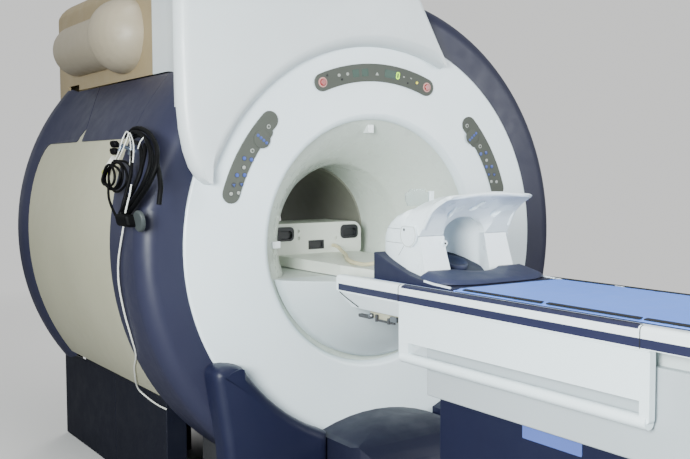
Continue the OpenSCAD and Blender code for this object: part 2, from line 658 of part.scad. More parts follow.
// Spare leads: one white lead that runs down the side and a black hank on the hook.
// Each route is a list of points from the hook downwards.
white_lead_r = 3.5;
white_lead_route = [
    [-1012, -684, 1176], [-1013, -668, 1140], [-1012, -640, 1090], [-1011, -612, 1030], [-1008, -600, 960],
    [-998, -592, 900], [-978, -580, 820], [-952, -566, 740], [-917, -520, 660], [-886, -420, 594],
    [-850, -330, 530], [-822, -268, 486], [-798, -235, 452], [-778, -240, 430], [-766, -275, 415],
    [-760, -320, 407], [-757, -365, 404], [-755, -412, 404]];
module white_lead() color("ivory") tube(through(white_lead_route, 3), white_lead_r, 8);

hank_top = 1500;
hank_low = 1190;
hank_half_w = 48;
hank_t = 36;
module black_leads() color("#111111")
    translate([0, -640, isocentre_h]) rotate([0, -167, 0]) translate([ring_r + 16, 0, 0])
        rotate([12, 0, 0]) rotate([0, 90, 0]) linear_extrude(hank_t) union() {
            circle(r = 0.1);
            translate([-130, 0]) circle(r = hank_half_w);
            translate([150, 0]) circle(r = 26);
            polygon([[-130, hank_half_w], [150, 26], [150, -26], [-130, -hank_half_w]]);
        }

// Carriage with the coil sockets, and its tongue towards the table
carriage_y = [-347, -110];
carriage_half_w = 232;
carriage_top = 1120;
cradle_head_y = -1060;
tongue_tip_y = cradle_head_y + fit;
tongue_top = 985;
socket_x = 167;
socket_z = 1075;
socket_size = [92, 62];
centre_socket = [[-47, 33], [1003, 1043]];
glide = 0.4;
module rounded_rect(w, h, r) {
    square([w - 2 * r, h], center = true);
    square([w, h - 2 * r], center = true);
    for (x = [-1, 1]) for (y = [-1, 1]) translate([x * (w / 2 - r), y * (h / 2 - r)]) circle(r = r);
}
module carriage() color("white") difference() {
    union() {
        along_y(carriage_y[0], carriage_y[1]) polygon(concat(
            [[-205, bridge_top + glide], [205, bridge_top + glide], [carriage_half_w, bridge_top + 60]],
            arc([carriage_half_w - 45, carriage_top - 45], 45, 0, 90, 6),
            arc([-carriage_half_w + 45, carriage_top - 45], 45, 90, 180, 6),
            [[-carriage_half_w, bridge_top + 60]]));
        intersection() {
            along_z(glide_h, far) polygon([
                [200, carriage_y[0] + 1], [-200, carriage_y[0] + 1], [-200, -840], [-170, -900], [-105, -980],
                [-90, tongue_tip_y], [90, tongue_tip_y], [105, -980], [170, -900], [200, -840]]);
            along_x(-far, far) polygon(concat(
                [[carriage_y[0] + 2, 0], [carriage_y[0] + 2, tongue_top]],
                curve([-800, tongue_top], [-900, tongue_top], [tongue_tip_y, 950], 5),
                [[tongue_tip_y, 0]]));
        }
    }
    for (s = [-1, 1]) translate([s * socket_x, carriage_y[0] + 12, socket_z]) rotate([90, 0, 0])
        linear_extrude(20) rounded_rect(socket_size[0], socket_size[1], 20);
    block([centre_socket[0][0], carriage_y[0] - 1, centre_socket[1][0]], [centre_socket[0][1], carriage_y[0] + 12, centre_socket[1][1]]);
    for (p = [[-98, 1085], [-96, 1055], [97, 1048]]) translate([p[0], carriage_y[0] + 8, p[1]])
        rotate([90, 0, 0]) cylinder(r = 7, h = 10);
}
module coil_sockets() color("#101418") {
    for (s = [-1, 1]) translate([s * socket_x, carriage_y[0] + 12, socket_z]) rotate([90, 0, 0]) difference() {
        linear_extrude(16) rounded_rect(socket_size[0] - 2 * glide, socket_size[1] - 2 * glide, 19);
        translate([0, -4, 4]) linear_extrude(20) rounded_rect(socket_size[0] - 20, socket_size[1] - 28, 13);
    }
    difference() {
        block([centre_socket[0][0] + glide, carriage_y[0] - 2, centre_socket[1][0] + glide],
            [centre_socket[0][1] - glide, carriage_y[0] + 12, centre_socket[1][1] - glide]);
        block([centre_socket[0][0] + 8, carriage_y[0] - 3, centre_socket[1][0] + 8],
            [centre_socket[0][1] - 8, carriage_y[0] + 6, centre_socket[1][1] - 8]);
    }
}
coil_lead_r = 8;
coil_lead_route = [
    [80, -347.3, 1016], [80, -357, 1016], [80, -367, 1016], [76, -402, 1009], [64, -440, 1001], [46, -485, 995.5],
    [20, -540, 993.7], [-18, -605, 993.7], [-58, -670, 993.7], [-96, -735, 993.7], [-128, -800, 993.7],
    [-150, -860, 993.5], [-164, -920, 993.5], [-173, -980, 996], [-176, -1026, 1003], [-173, -1063, 1011],
    [-170, -1087, 1016], [-170, -1103, 1016], [-170, -1119.7, 1016]];
module coil_lead() color("#d8cfa6") tube(through(coil_lead_route, 2), coil_lead_r, 8);

// Table
moulding_w = 32;
table_half_w = table_w / 2;
bed_z = [907, glide_h - fit];
stripe_top = 933;
nose_back_y = -1362;
foot_round = 60;
// Everything on the lift keeps clear of the chin at any height
module chin_clearance() translate([0, chin_centre_y, 0]) cylinder(r = chin_sphere_r + 3, h = far, $fn = 144);

base_front_y = -1520;
base_back_y = -3150;
base_half_w = 245;
base_z = [150, beam_h - shell_t - lift_travel - 5];
column_y = [-1800, -2850];
column_r = 62;
ram_r = 52;
module table_base() color("#232a4b") {
    difference() {
        block([-base_half_w, base_back_y, base_z[0]], [base_half_w, base_front_y, base_z[1]]);
        block([-base_half_w + shell_t, base_back_y + shell_t, base_z[0] + 20], [base_half_w - shell_t, base_front_y - shell_t, far]);
    }
    for (y = column_y) translate([0, y, base_z[0] + 20]) difference() {
        cylinder(r = column_r, h = base_z[1] - base_z[0] - 25);
        translate([0, 0, 10]) cylinder(r = ram_r + 0.5, h = far);
    }
}

module table_frame() color("lightgray") {
    difference() {
        along_z(bed_z[0], bed_z[1]) {
            corner_r = foot_round - moulding_w;
            half_w = table_half_w - moulding_w;
            end_y = -table_foot + moulding_w;
            translate([-half_w, end_y + corner_r]) square([2 * half_w, -900 - end_y - corner_r]);
            translate([-half_w + corner_r, end_y]) square([2 * (half_w - corner_r), corner_r + 1]);
            for (s = [-1, 1]) translate([s * (half_w - corner_r), end_y + corner_r]) circle(r = corner_r);
        }
        chin_clearance();
    }
    difference() {
        block([-240, -table_foot + 50, beam_h], [240, nose_back_y, bed_z[0]]);
        block([-228, -table_foot + 62, beam_h + shell_t], [228, nose_back_y - 12, bed_z[0] + 1]);
    }
    for (y = column_y) translate([0, y, base_z[0] + lift_travel + 40]) cylinder(r = ram_r, h = beam_h - base_z[0] - lift_travel - 39);
}

nose_bottom_z = 842;
module table_nose() color("whitesmoke") difference() {
    along_y(nose_back_y + fit, -900) polygon([
        [-table_half_w + 1, bed_z[0]], [-250, nose_bottom_z], [250, nose_bottom_z], [table_half_w - 1, bed_z[0]]]);
    along_y(nose_back_y + shell_t, -860) polygon([
        [-table_half_w + 26, bed_z[0] - 8], [-242, nose_bottom_z + 8], [242, nose_bottom_z + 8], [table_half_w - 26, bed_z[0] - 8]]);
    chin_clearance();
}

moulding_round = 14;
module moulding_section() polygon(concat(
    [[-moulding_w, bed_z[0] + 1], [0, bed_z[0] + 1]],
    arc([-moulding_round, moulding_h - moulding_round], moulding_round, 0, 90, 5),
    [[-moulding_w, moulding_h]]));
module side_mouldings() color("white") difference() {
    union() {
        on_both() along_y(-table_foot + foot_round, -900) translate([-table_half_w, 0]) mirror([1, 0]) moulding_section();
        on_both() translate([table_half_w - foot_round, -table_foot + foot_round, 0]) rotate([0, 0, -90])
            rotate_extrude(angle = 90) translate([foot_round, 0]) moulding_section();
        along_x(-table_half_w + foot_round, table_half_w - foot_round) translate([-table_foot, 0]) mirror([1, 0]) moulding_section();
    }
    chin_clearance();
    for (y = [nose_back_y, -2388]) for (s = [-1, 1])
        block([s * table_half_w - 2, y - 0.8, 0], [s * table_half_w + 2, y + 0.8, far]);
}

skirt_y = [-3240, -1470];
skirt_z = 603;
skirt_half_w = 262;
module table_skirt() color("whitesmoke") difference() {
    block([-skirt_half_w, skirt_y[0], skirt_z], [skirt_half_w, skirt_y[1], beam_h]);
    block([-skirt_half_w + shell_t, skirt_y[0] + shell_t, 0], [skirt_half_w - shell_t, skirt_y[1] - shell_t, beam_h - shell_t]);
    for (y = column_y) translate([0, y, 0]) cylinder(r = ram_r + fit, h = far);
}

// Guard: a flap hinged under the moulding, with a hand slot above a round bar
guard_y = [-2420, -1364];
guard_slot_y = [-2388, -1415];
guard_slot_z = [739, 775];
guard_t = 22;
guard_bar_r = 18;
guard_bar_z = 721;
// Bead on the guard's upper outer edge, about which it turns
guard_bead_r = 2.5;
guard_bead_out = 1.5;
module guard() color("white") {
    along_x(-table_half_w, -table_half_w + guard_t) difference() {
        polygon(concat(
            [[guard_y[0], bed_z[0] + 0.5]],
            arc([guard_y[0] + 12, guard_bar_z + 10], 12, 180, 270, 4),
            arc([guard_y[1] - 12, guard_bar_z + 10], 12, 270, 360, 4),
            [[guard_y[1], bed_z[0] + 0.5]]));
        translate([guard_slot_y[0], guard_bar_z - 6]) square([guard_slot_y[1] - guard_slot_y[0], guard_slot_z[1] - guard_bar_z + 6]);
    }
    translate([-table_half_w - guard_bead_out, guard_y[1], bed_z[0] - 2]) rotate([90, 0, 0])
        cylinder(r = guard_bead_r, h = guard_y[1] - guard_y[0], $fn = 24);
    translate([-table_half_w + guard_t / 2, guard_y[1] - 8, guard_bar_z]) rotate([90, 0, 0])
        cylinder(r = guard_bar_r, h = guard_y[1] - guard_y[0] - 16);
}
module guard_left() guard();
module guard_right() on_right() guard();

// Cradle, mattress and coil
cradle_y = [-3245, cradle_head_y];
cradle_floor = glide_h + 14;
cradle_edge = 962;
mat_top = 974;
mat_y = [-3230, -1578];
mat_half_w = 236;
module cradle() color("lightsteelblue") along_y(cradle_y[0], cradle_y[1]) polygon([
    [-cradle_half_w, glide_h], [cradle_half_w, glide_h], [cradle_half_w, cradle_edge], [cradle_half_w - 6, cradle_edge],
    [cradle_half_w - 8, cradle_floor], [-cradle_half_w + 8, cradle_floor], [-cradle_half_w + 6, cradle_edge],
    [-cradle_half_w, cradle_edge]]);
module mattress() color("#96aae1")
    along_z(cradle_floor + 0.3, mat_top) translate([0, (mat_y[0] + mat_y[1]) / 2])
        rounded_rect(2 * mat_half_w, mat_y[1] - mat_y[0], 25);

coil_back_y = -1120;
pad_front_y = -1575;
// Line of the top of the coil's base, from its front edge back
base_line = [[pad_front_y, 970], [-1476, 974], [-1407, 980], [-1336, 991], [-1248, 1015], [-1186, 1035], [coil_back_y, 1060]];
module coil_base() color("#3b4160") along_x(-coil_half_w, coil_half_w) polygon(concat(
    [[coil_back_y, cradle_floor + 0.3], [pad_front_y, cradle_floor + 0.3]], base_line));

function base_top(y) = lookup(y, base_line);
// Half of the arch section over the head, as parts of its half width and of its height, from the foot
// up to the crown: the round one at the band and the flat one at the rim
round_half = [[1, 0], [1, 0.27], [0.995, 0.506], [0.988, 0.625], [0.971, 0.705], [0.937, 0.765], [0.883, 0.813],
    [0.82, 0.849], [0.728, 0.888], [0.597, 0.932], [0.398, 0.976], [0.2, 0.994]];
flat_half = [[1, 0], [1, 0.3], [1, 0.6], [1, 0.8], [1, 0.87], [0.994, 0.912], [0.975, 0.937],
    [0.93, 0.955], [0.8, 0.967], [0.6, 0.98], [0.4, 0.99], [0.2, 0.997]];
// One arch section at y, from its foot on the right over to the left, with its crown at top above the
// pivots; flat goes from 0 for the round section to 1 for the flat one
function arch_ring(dy, w, top, flat = 0, z0) = let (
    h = coil_pivot_h + top - z0,
    half = [for (i = [0 : len(round_half) - 1]) let (q = round_half[i] * (1 - flat) + flat_half[i] * flat) q])
    concat(
        [for (q = half) [w * q[0], dy - coil_pivot_y, z0 + h * q[1]]],
        [[0, dy - coil_pivot_y, z0 + h]],
        [for (q = reversed(half)) [-w * q[0], dy - coil_pivot_y, z0 + h * q[1]]]);
function hood(dy, w, top, flat = 0, lift = 0.3) = arch_ring(dy, w, top, flat, base_top(dy - coil_pivot_y) + lift);
// Side view drawn from the pivots, extruded over the whole width
module side_view(points) along_x(-far, far) polygon([for (p = points) [p[0] - coil_pivot_y, p[1] + coil_pivot_h]]);

// Helmet: a shell over the base, a band over the crown and two legs in front, below the arch
part_line = -4;
// Pivot of the mirror, on a boss that stands on the helmet
mirror_pivot = [-44, -1215, coil_pivot_h + 102];
mirror_pin_r = 5;
mirror_boss_z = coil_pivot_h + 60;
module coil_helmet() color("white") {
    helmet_shell();
    translate([mirror_pivot[0], mirror_pivot[1], mirror_boss_z])
        cylinder(r = 14, h = mirror_pivot[2] - mirror_pin_r - fit - mirror_boss_z, $fn = 32);
}
module helmet_shell() difference() {
    skin([hood(179.5, 182, -14, 0.5), hood(172, 187, 10, 0.5), hood(155, 192, 38, 0.5), hood(130, 196, 62, 0.5),
        hood(100, 198, 84, 0.5), hood(60, 199, 102, 0.4), hood(45, 200, 106), hood(27, 200, 114), hood(25, 203, 124),
        hood(0, 203, 124), hood(-50, 198, 124), hood(-95, 205, 124)]);
    skin([hood(152, 60, -40, 0, -30), hood(125, 92, 14, 0, -30), hood(85, 114, 52, 0, -30), hood(20, 122, 62, 0, -30),
        hood(-4, 118, 62, 0, -30), hood(-50, 95, 60, 0, -30), hood(-110, 86, 60, 0, -30)]);
    side_view([[-5, 400], [-5, part_line - 1.5], [-50, part_line - 1.5], [-56, -30], [-68, -75], [-85, -126],
        [-87, -200], [-400, -200], [-400, 400]]);
}

// Shoulder pad with a hollow for the neck, and head pillow
pad_back_y = -1404;
pillow_y = -1285;
pillow_r = 62;
module coil_pads() color("#5a5f82") {
    intersection() {
        along_z(base_top(pad_front_y), far) polygon(concat(
            arc([-coil_half_w + 40, pad_front_y + 50], 36, 180, 270, 5),
            arc([coil_half_w - 40, pad_front_y + 50], 36, 270, 360, 5),
            [[coil_half_w - 4, pad_back_y], [112, pad_back_y]],
            curve([96, pad_back_y - 14], [0, pad_back_y - 86], [-96, pad_back_y - 14], 8),
            [[-112, pad_back_y], [-coil_half_w + 4, pad_back_y]]));
        along_x(-far, far) polygon(concat(
            [for (y = [pad_front_y, -1476, -1407, pad_back_y]) [y, base_top(y) + 0.3]],
            [[pad_back_y, 1014], [-1440, 1011], [-1500, 1005], [-1545, 998], [-1562, 990], [pad_front_y, 980]]));
    }
    difference() {
        translate([0, pillow_y, base_top(pillow_y) - 20]) cylinder(r = pillow_r, h = 52);
        along_x(-2 * pillow_r, 2 * pillow_r) polygon(concat(
            [[-1000, 0], [-1500, 0]], [for (y = [-1500, -1336, -1248, -1186]) [y, base_top(y) + 0.4]], [[-1000, 1090]]));
    }
}

// Arch: a visor over the face on two discs, with three pockets on its inside
disc_r = 46;
disc_x = [204.4, 213];
visor_z0 = coil_pivot_h - 127;
function visor_ring(dy, w, top, flat = 0) = arch_ring(dy, w, top, flat, visor_z0);
module visor() difference() {
    intersection() {
        skin([visor_ring(-8, 209.5, 132.5), visor_ring(-50, 204, 136.5, 0.15), visor_ring(-85, 200, 140, 0.35),
            visor_ring(-140, 194, 145.5, 0.7), visor_ring(-185, 189, 149.5, 0.95), visor_ring(-206, 184, 150, 1),
            visor_ring(-210, 180, 146, 1)]);
        side_view(concat([[-8, part_line], [-50, part_line], [-66, 20]], curve([-84, 50], [-118, 96], [-198, 128], 8),
            [[-206, 133], [-211, 139], [-211, 200], [-8, 200]]));
    }
    skin([visor_ring(-6, 96, 56), visor_ring(-50, 97, 58), visor_ring(-62, 106, 66, 0.1), visor_ring(-82, 124, 80, 0.2),
        visor_ring(-110, 146, 97, 0.4), visor_ring(-145, 162, 112, 0.7), visor_ring(-180, 170, 123, 0.9),
        visor_ring(-214, 176, 131, 1)]);
    intersection() {
        skin([visor_ring(4, 205.5, 128), visor_ring(-50, 199.5, 130.5, 0.15), visor_ring(-85, 195, 133, 0.35),
            visor_ring(-100, 193, 134, 0.45)]);
        side_view([[20, -200], [-10.5, -200], [-10.5, 6], [-42, 54], [-90, 134], [-90, 300], [20, 300]]);
    }
    for (p = [[-106, -112, 76, -30, 15], [0, -118, 99, 0, 18], [106, -112, 76, 30, 15]])
        translate([p[0], p[1] - coil_pivot_y, p[2] + coil_pivot_h]) rotate([0, p[3], 0]) rotate([-28, 0, 0])
            linear_extrude(20, center = true) {
                square([2 * p[4], 44], center = true);
                for (e = [-1, 1]) translate([0, 22 * e]) circle(r = p[4], $fn = 24);
            }
}
module coil_arch() color("white") {
    visor();
    for (s = [-1, 1]) difference() {
        translate([s < 0 ? -disc_x[1] : disc_x[0], -coil_pivot_y, coil_pivot_h]) rotate([0, 90, 0])
            cylinder(r = disc_r, h = disc_x[1] - disc_x[0], $fn = 72);
        side_view([[-100, 31], [100, 31], [100, 100], [-100, 100]]);
    }
}

// Head mirror on a post behind the arch
module coil_mirror() color("aliceblue") {
    translate(mirror_pivot) {
        block([-9, -5, 0], [9, 5, 46]);
        translate([-12, 0, 0]) rotate([0, 90, 0]) cylinder(r = mirror_pin_r, h = 24, $fn = 32);
    }
    translate(mirror_pivot + [-60, 0, 24]) rotate([90, 0, 0]) linear_extrude(4, center = true) {
        rounded_rect(112, 36, 8);
        intersection() {
            translate([-4, -8]) circle(r = 48);
            square([112, 60], center = true);
        }
    }
}

// Casters: fork and wheel at the four corners of the base
caster_x = 160;
caster_y = [-1650, -3020];
caster_trail = 28;
wheel_w = 34;
caster_places = [[-caster_x, caster_y[0]], [caster_x, caster_y[0]], [-caster_x, caster_y[1]], [caster_x, caster_y[1]]];
module caster_at(i) translate([caster_places[i][0], caster_places[i][1], 0]) children();
module caster_fork(i) color("darkgray") caster_at(i) {
    translate([0, 0, base_z[0] - 20.5]) cylinder(r = 38, h = 20);
    for (s = [-1, 1]) along_x(s * (wheel_w / 2 + 4) - 2, s * (wheel_w / 2 + 4) + 2) polygon([
        [-caster_trail - 14, wheel_r - 12], [-caster_trail + 14, wheel_r - 12], [26, base_z[0] - 20], [-30, base_z[0] - 20]]);
    translate([0, -caster_trail, wheel_r]) rotate([0, 90, 0]) cylinder(r = 6, h = wheel_w + 20, center = true);
}
module caster_wheel(i) color("#303030") caster_at(i) translate([0, -caster_trail, wheel_r]) rotate([0, 90, 0]) difference() {
    cylinder(r = wheel_r, h = wheel_w, center = true);
    cylinder(r = 6.05, h = wheel_w + 2, center = true);
}
module caster_fork_1() caster_fork(0);
module caster_fork_2() caster_fork(1);
module caster_fork_3() caster_fork(2);
module caster_fork_4() caster_fork(3);
module caster_wheel_1() caster_wheel(0);
module caster_wheel_2() caster_wheel(1);
module caster_wheel_3() caster_wheel(2);
module caster_wheel_4() caster_wheel(3);

vacuum_vessel();
main_coils();
gradient_coil();
body_coil();
bore_liner();
cold_head();
magnet_feet();
front_cover();
bore_funnel();
chin_cover();
front_ring_left();
front_ring_right();
rear_ring_left();
rear_ring_right();
side_panel_left();
side_panel_right();
front_top_cover();
tower_cover();
duct_cover();
rear_cover();
plinth();
wing_left();
wing_right();
dock_cover();
display_panel();
keypad_left();
keypad_right();
light_windows();
bridge();
rear_pedestal();
lead_hook();
white_lead();
black_leads();
stop_button_left();
stop_button_right();
carriage();
coil_sockets();
coil_lead();
table_base();
table_frame();
table_nose();
side_mouldings();
table_skirt();
guard_left();
guard_right();
cradle();
mattress();
coil_base();
coil_helmet();
coil_pads();
coil_arch();
coil_mirror();
caster_fork_1();
caster_fork_2();
caster_fork_3();
caster_fork_4();
caster_wheel_1();
caster_wheel_2();
caster_wheel_3();
caster_wheel_4();
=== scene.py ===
"""Whole-body scanner with its docked patient table: finishes, soft goods, leads and small fittings.

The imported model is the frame. Every piece is in metres in that frame and rides on one of its bodies:
+X is to the right seen from the patient end, +Y goes into the bore, +Z is up, and the floor is at zero.
"""
import json
import math

import bmesh
import bpy
from mathutils import Matrix, Vector
from mathutils.bvhtree import BVHTree

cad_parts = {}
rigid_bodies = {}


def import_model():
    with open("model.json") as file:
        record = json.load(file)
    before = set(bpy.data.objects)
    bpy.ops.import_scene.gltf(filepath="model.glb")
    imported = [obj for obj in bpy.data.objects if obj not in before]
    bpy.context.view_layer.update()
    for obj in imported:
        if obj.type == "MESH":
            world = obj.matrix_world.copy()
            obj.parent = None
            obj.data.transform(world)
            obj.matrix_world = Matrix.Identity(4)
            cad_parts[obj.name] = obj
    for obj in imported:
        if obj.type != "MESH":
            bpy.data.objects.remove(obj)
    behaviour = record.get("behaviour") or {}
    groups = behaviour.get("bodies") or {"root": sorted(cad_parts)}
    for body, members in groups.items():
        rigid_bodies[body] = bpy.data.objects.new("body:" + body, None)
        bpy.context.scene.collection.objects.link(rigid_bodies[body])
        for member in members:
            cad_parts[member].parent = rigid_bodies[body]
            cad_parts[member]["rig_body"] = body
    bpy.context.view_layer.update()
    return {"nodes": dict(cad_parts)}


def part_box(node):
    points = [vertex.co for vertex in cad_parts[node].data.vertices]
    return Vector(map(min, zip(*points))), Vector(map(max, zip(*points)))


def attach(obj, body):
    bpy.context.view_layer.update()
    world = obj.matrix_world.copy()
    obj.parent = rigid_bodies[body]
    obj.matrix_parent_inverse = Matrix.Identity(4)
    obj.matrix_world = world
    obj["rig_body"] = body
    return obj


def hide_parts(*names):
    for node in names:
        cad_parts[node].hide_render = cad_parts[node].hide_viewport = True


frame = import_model()
NODES = frame["nodes"]

COVER_LOW, COVER_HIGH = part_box("front_cover")
AXIS_Z = (COVER_LOW.z + COVER_HIGH.z) / 2
HALVES = ((-1, "left"), (1, "right"))


# Small helpers


def srgb(red, green, blue):
    """A colour as it looks on a screen, from 0 to 255, as linear values."""
    return tuple(
        (c / 255 / 12.92) if c <= 10 else ((c / 255 + 0.055) / 1.055) ** 2.4 for c in (red, green, blue)
    ) + (1.0,)


def smooth_line(points, per):
    """Points on a smooth line through the given points, with `per` steps between neighbours."""
    pts = [Vector(p) for p in points]
    line = []
    for i in range(len(pts) - 1):
        a, b, c, d = pts[max(i - 1, 0)], pts[i], pts[i + 1], pts[min(i + 2, len(pts) - 1)]
        square = 2 * a - 5 * b + 4 * c - d
        cube = 3 * b - a - 3 * c + d
        for k in range(per):
            t = k / per
            line.append(0.5 * (2 * b + (c - a) * t + square * t * t + cube * t**3))
    return line + [pts[-1]]


def length_of(line):
    return sum((b - a).length for a, b in zip(line, line[1:]))


def new_object(name, data):
    thing = bpy.data.objects.new(name, data)
    bpy.context.scene.collection.objects.link(thing)
    return thing


def new_piece(name, verts, faces, body, material, slot, smooth=35):
    """A mesh piece that rides on a body, smooth except over edges sharper than `smooth` degrees."""
    mesh = bpy.data.meshes.new(name)
    mesh.from_pydata([tuple(v) for v in verts], [], faces)
    mesh.materials.append(material)
    piece = new_object(name, mesh)
    shade(piece, smooth)
    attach(piece, body)
    return piece


def shade(piece, angle):
    mesh = piece.data
    mesh.polygons.foreach_set("use_smooth", [True] * len(mesh.polygons))
    mesh.set_sharp_from_angle(angle=math.radians(angle))


def taken(bm):
    """The points and faces of a bmesh, which is freed."""
    bm.verts.index_update()
    verts = [v.co.copy() for v in bm.verts]
    faces = [[v.index for v in f.verts] for f in bm.faces]
    bm.free()
    return verts, faces


def from_bmesh(name, bm, body, material, slot, smooth=35):
    """Turns a bmesh into a piece, with its doubles merged and its faces turned outwards."""
    bmesh.ops.remove_doubles(bm, verts=bm.verts, dist=1e-6)
    bmesh.ops.recalc_face_normals(bm, faces=bm.faces)
    return new_piece(name, *taken(bm), body, material, slot, smooth)


def bevelled(piece, width, segments=2):
    edge = piece.modifiers.new("edge", "BEVEL")
    edge.width = width
    edge.segments = segments
    edge.limit_method = "ANGLE"
    edge.angle_limit = math.radians(40)
    even = piece.modifiers.new("even", "WEIGHTED_NORMAL")
    even.keep_sharp = True
    return piece


def plate(bm, outline, front, back, place):
    """Adds a flat plate to a bmesh: outline is 2-D points, `place(u, v, d)` puts a point at depth d."""
    near = [bm.verts.new(place(u, v, front)) for u, v in outline]
    far = [bm.verts.new(place(u, v, back)) for u, v in outline]
    bm.faces.new(near)
    bm.faces.new(far[::-1])
    n = len(outline)
    for i in range(n):
        bm.faces.new((near[i], far[i], far[(i + 1) % n], near[(i + 1) % n]))


def lofted(bm, rings, closed_ends=True):
    """Adds a skin over rings of points with equal counts."""
    rows = [[bm.verts.new(p) for p in ring] for ring in rings]
    n = len(rows[0])
    for a, b in zip(rows, rows[1:]):
        for i in range(n):
            bm.faces.new((a[i], a[(i + 1) % n], b[(i + 1) % n], b[i]))
    if closed_ends:
        bm.faces.new(rows[0][::-1])
        bm.faces.new(rows[-1])


def swept(bm, line, section, up=Vector((0, 0, 1))):
    """Adds a bar of the given 2-D section along a line; the section's second value points along `up`."""
    rings = []
    for i, p in enumerate(line):
        ahead = (line[min(i + 1, len(line) - 1)] - line[max(i - 1, 0)]).normalized()
        side = ahead.cross(up).normalized()
        top = side.cross(ahead)
        rings.append([p + side * u + top * v for u, v in section])
    lofted(bm, rings)


def plate_piece(name, outline, front, back, place, body, material, slot):
    bm = bmesh.new()
    plate(bm, outline, front, back, place)
    return from_bmesh(name, bm, body, material, slot)


def lofted_piece(name, rings, body, material, slot, smooth=35, closed_ends=True):
    bm = bmesh.new()
    lofted(bm, rings, closed_ends)
    return from_bmesh(name, bm, body, material, slot, smooth)


def swept_piece(name, line, section, body, material, slot, smooth=35, up=Vector((0, 0, 1))):
    bm = bmesh.new()
    swept(bm, [Vector(p) for p in line], section, up)
    return from_bmesh(name, bm, body, material, slot, smooth)


def sideways(x, y, z, side=1):
    """Stands a plate upright: its outline lies in Y and Z about a spot, and its depth goes to the side."""
    return lambda u, v, d: Vector((side * (x + d), y + u, z + v))


def profiled(side, x, outline, stations):
    """Rings for a loft along Y: an outline in X and Z at each station, on one side of the table."""
    return [[Vector((side * (x + u), y, z)) for u, z in outline] for y in stations]


def surface_of(node):
    """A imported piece's skin, for rays that find a spot on it."""
    skin = NODES[node].data
    return BVHTree.FromPolygons([v.co.copy() for v in skin.vertices], [p.vertices[:] for p in skin.polygons])


def circle(radius, count):
    angles = [2 * math.pi * i / count for i in range(count)]
    return [(radius * math.cos(a), radius * math.sin(a)) for a in angles]


def rounded(width, height, radius, steps=5):
    """Outline of a rectangle with round corners, about its middle."""
    outline = []
    half_u, half_v = width / 2 - radius, height / 2 - radius
    for k, (sx, sy) in enumerate(((1, 1), (-1, 1), (-1, -1), (1, -1))):
        for i in range(steps + 1):
            a = math.radians(90 * k + 90 * i / steps)
            outline.append((sx * half_u + radius * math.cos(a), sy * half_v + radius * math.sin(a)))
    return outline


# Shader helpers


def link(tree, source, target):
    tree.links.new(source, target)


def filled(node, **values):
    """Sets a node's inputs by their names, in which _ stands for a space."""
    for word, value in values.items():
        node.inputs[word.replace("_", " ")].default_value = value
    return node


def new_material(name):
    """A material, its node tree and its main shader."""
    material = bpy.data.materials.new(name)
    material.use_nodes = True
    return material, material.node_tree, material.node_tree.nodes["Principled BSDF"]


def noise(tree, coords, scale, detail=2.0):
    node = filled(tree.nodes.new("ShaderNodeTexNoise"), Scale=scale, Detail=detail, Roughness=0.5)
    link(tree, coords, node.inputs["Vector"])
    return node.outputs["Fac"]


def spread(tree, value, low, high, from_low=0.3, from_high=0.7):
    node = tree.nodes.new("ShaderNodeMapRange")
    filled(node, From_Min=from_low, From_Max=from_high, To_Min=low, To_Max=high)
    link(tree, value, node.inputs["Value"])
    return node.outputs["Result"]


def mixed(tree, share, first, second):
    """Mixes two colours, each a value or an output, by a share."""
    node = tree.nodes.new("ShaderNodeMix")
    node.data_type = "RGBA"
    for index, colour in ((6, first), (7, second)):
        if isinstance(colour, tuple):
            node.inputs[index].default_value = colour
        else:
            link(tree, colour, node.inputs[index])
    link(tree, share, node.inputs[0])
    return node.outputs[2]


def scaled(colour, by):
    return tuple(min(1.0, c * by) for c in colour[:3]) + (1.0,)


# Camera, light and floor

CAMERA_AT = Vector((-2.2315, -4.0043, 1.3708))
CAMERA_YAW = math.radians(33.018)
CAMERA_PITCH = math.radians(-3.768)
CAMERA_ROLL = math.radians(-0.3)
CAMERA_LENS = 50.536
FIELD_COLOUR = (0.9, 0.9, 0.89, 1)
FADE_FROM, FADE_TO = 2.0, 7.0


def set_camera():
    level = math.cos(CAMERA_PITCH)
    ahead = Vector((math.sin(CAMERA_YAW) * level, math.cos(CAMERA_YAW) * level, math.sin(CAMERA_PITCH)))
    right = Vector((math.cos(CAMERA_YAW), -math.sin(CAMERA_YAW), 0))
    up = right.cross(ahead)
    turned_right = right * math.cos(CAMERA_ROLL) + up * math.sin(CAMERA_ROLL)
    turned_up = up * math.cos(CAMERA_ROLL) - right * math.sin(CAMERA_ROLL)
    data = bpy.data.cameras.new("camera")
    data.sensor_width = 36
    data.lens = CAMERA_LENS
    camera = new_object("camera", data)
    turn = Matrix((turned_right, turned_up, -ahead)).transposed()
    camera.matrix_world = Matrix.Translation(CAMERA_AT) @ turn.to_4x4()
    bpy.context.scene.camera = camera


def area_light(name, at, aim, size, power, colour):
    data = bpy.data.lights.new(name, "AREA")
    data.shape = "DISK"
    data.size = size
    data.energy = power
    data.color = colour
    lamp = new_object(name, data)
    lamp.location = at
    lamp.rotation_euler = (Vector(aim) - Vector(at)).to_track_quat("-Z", "Y").to_euler()


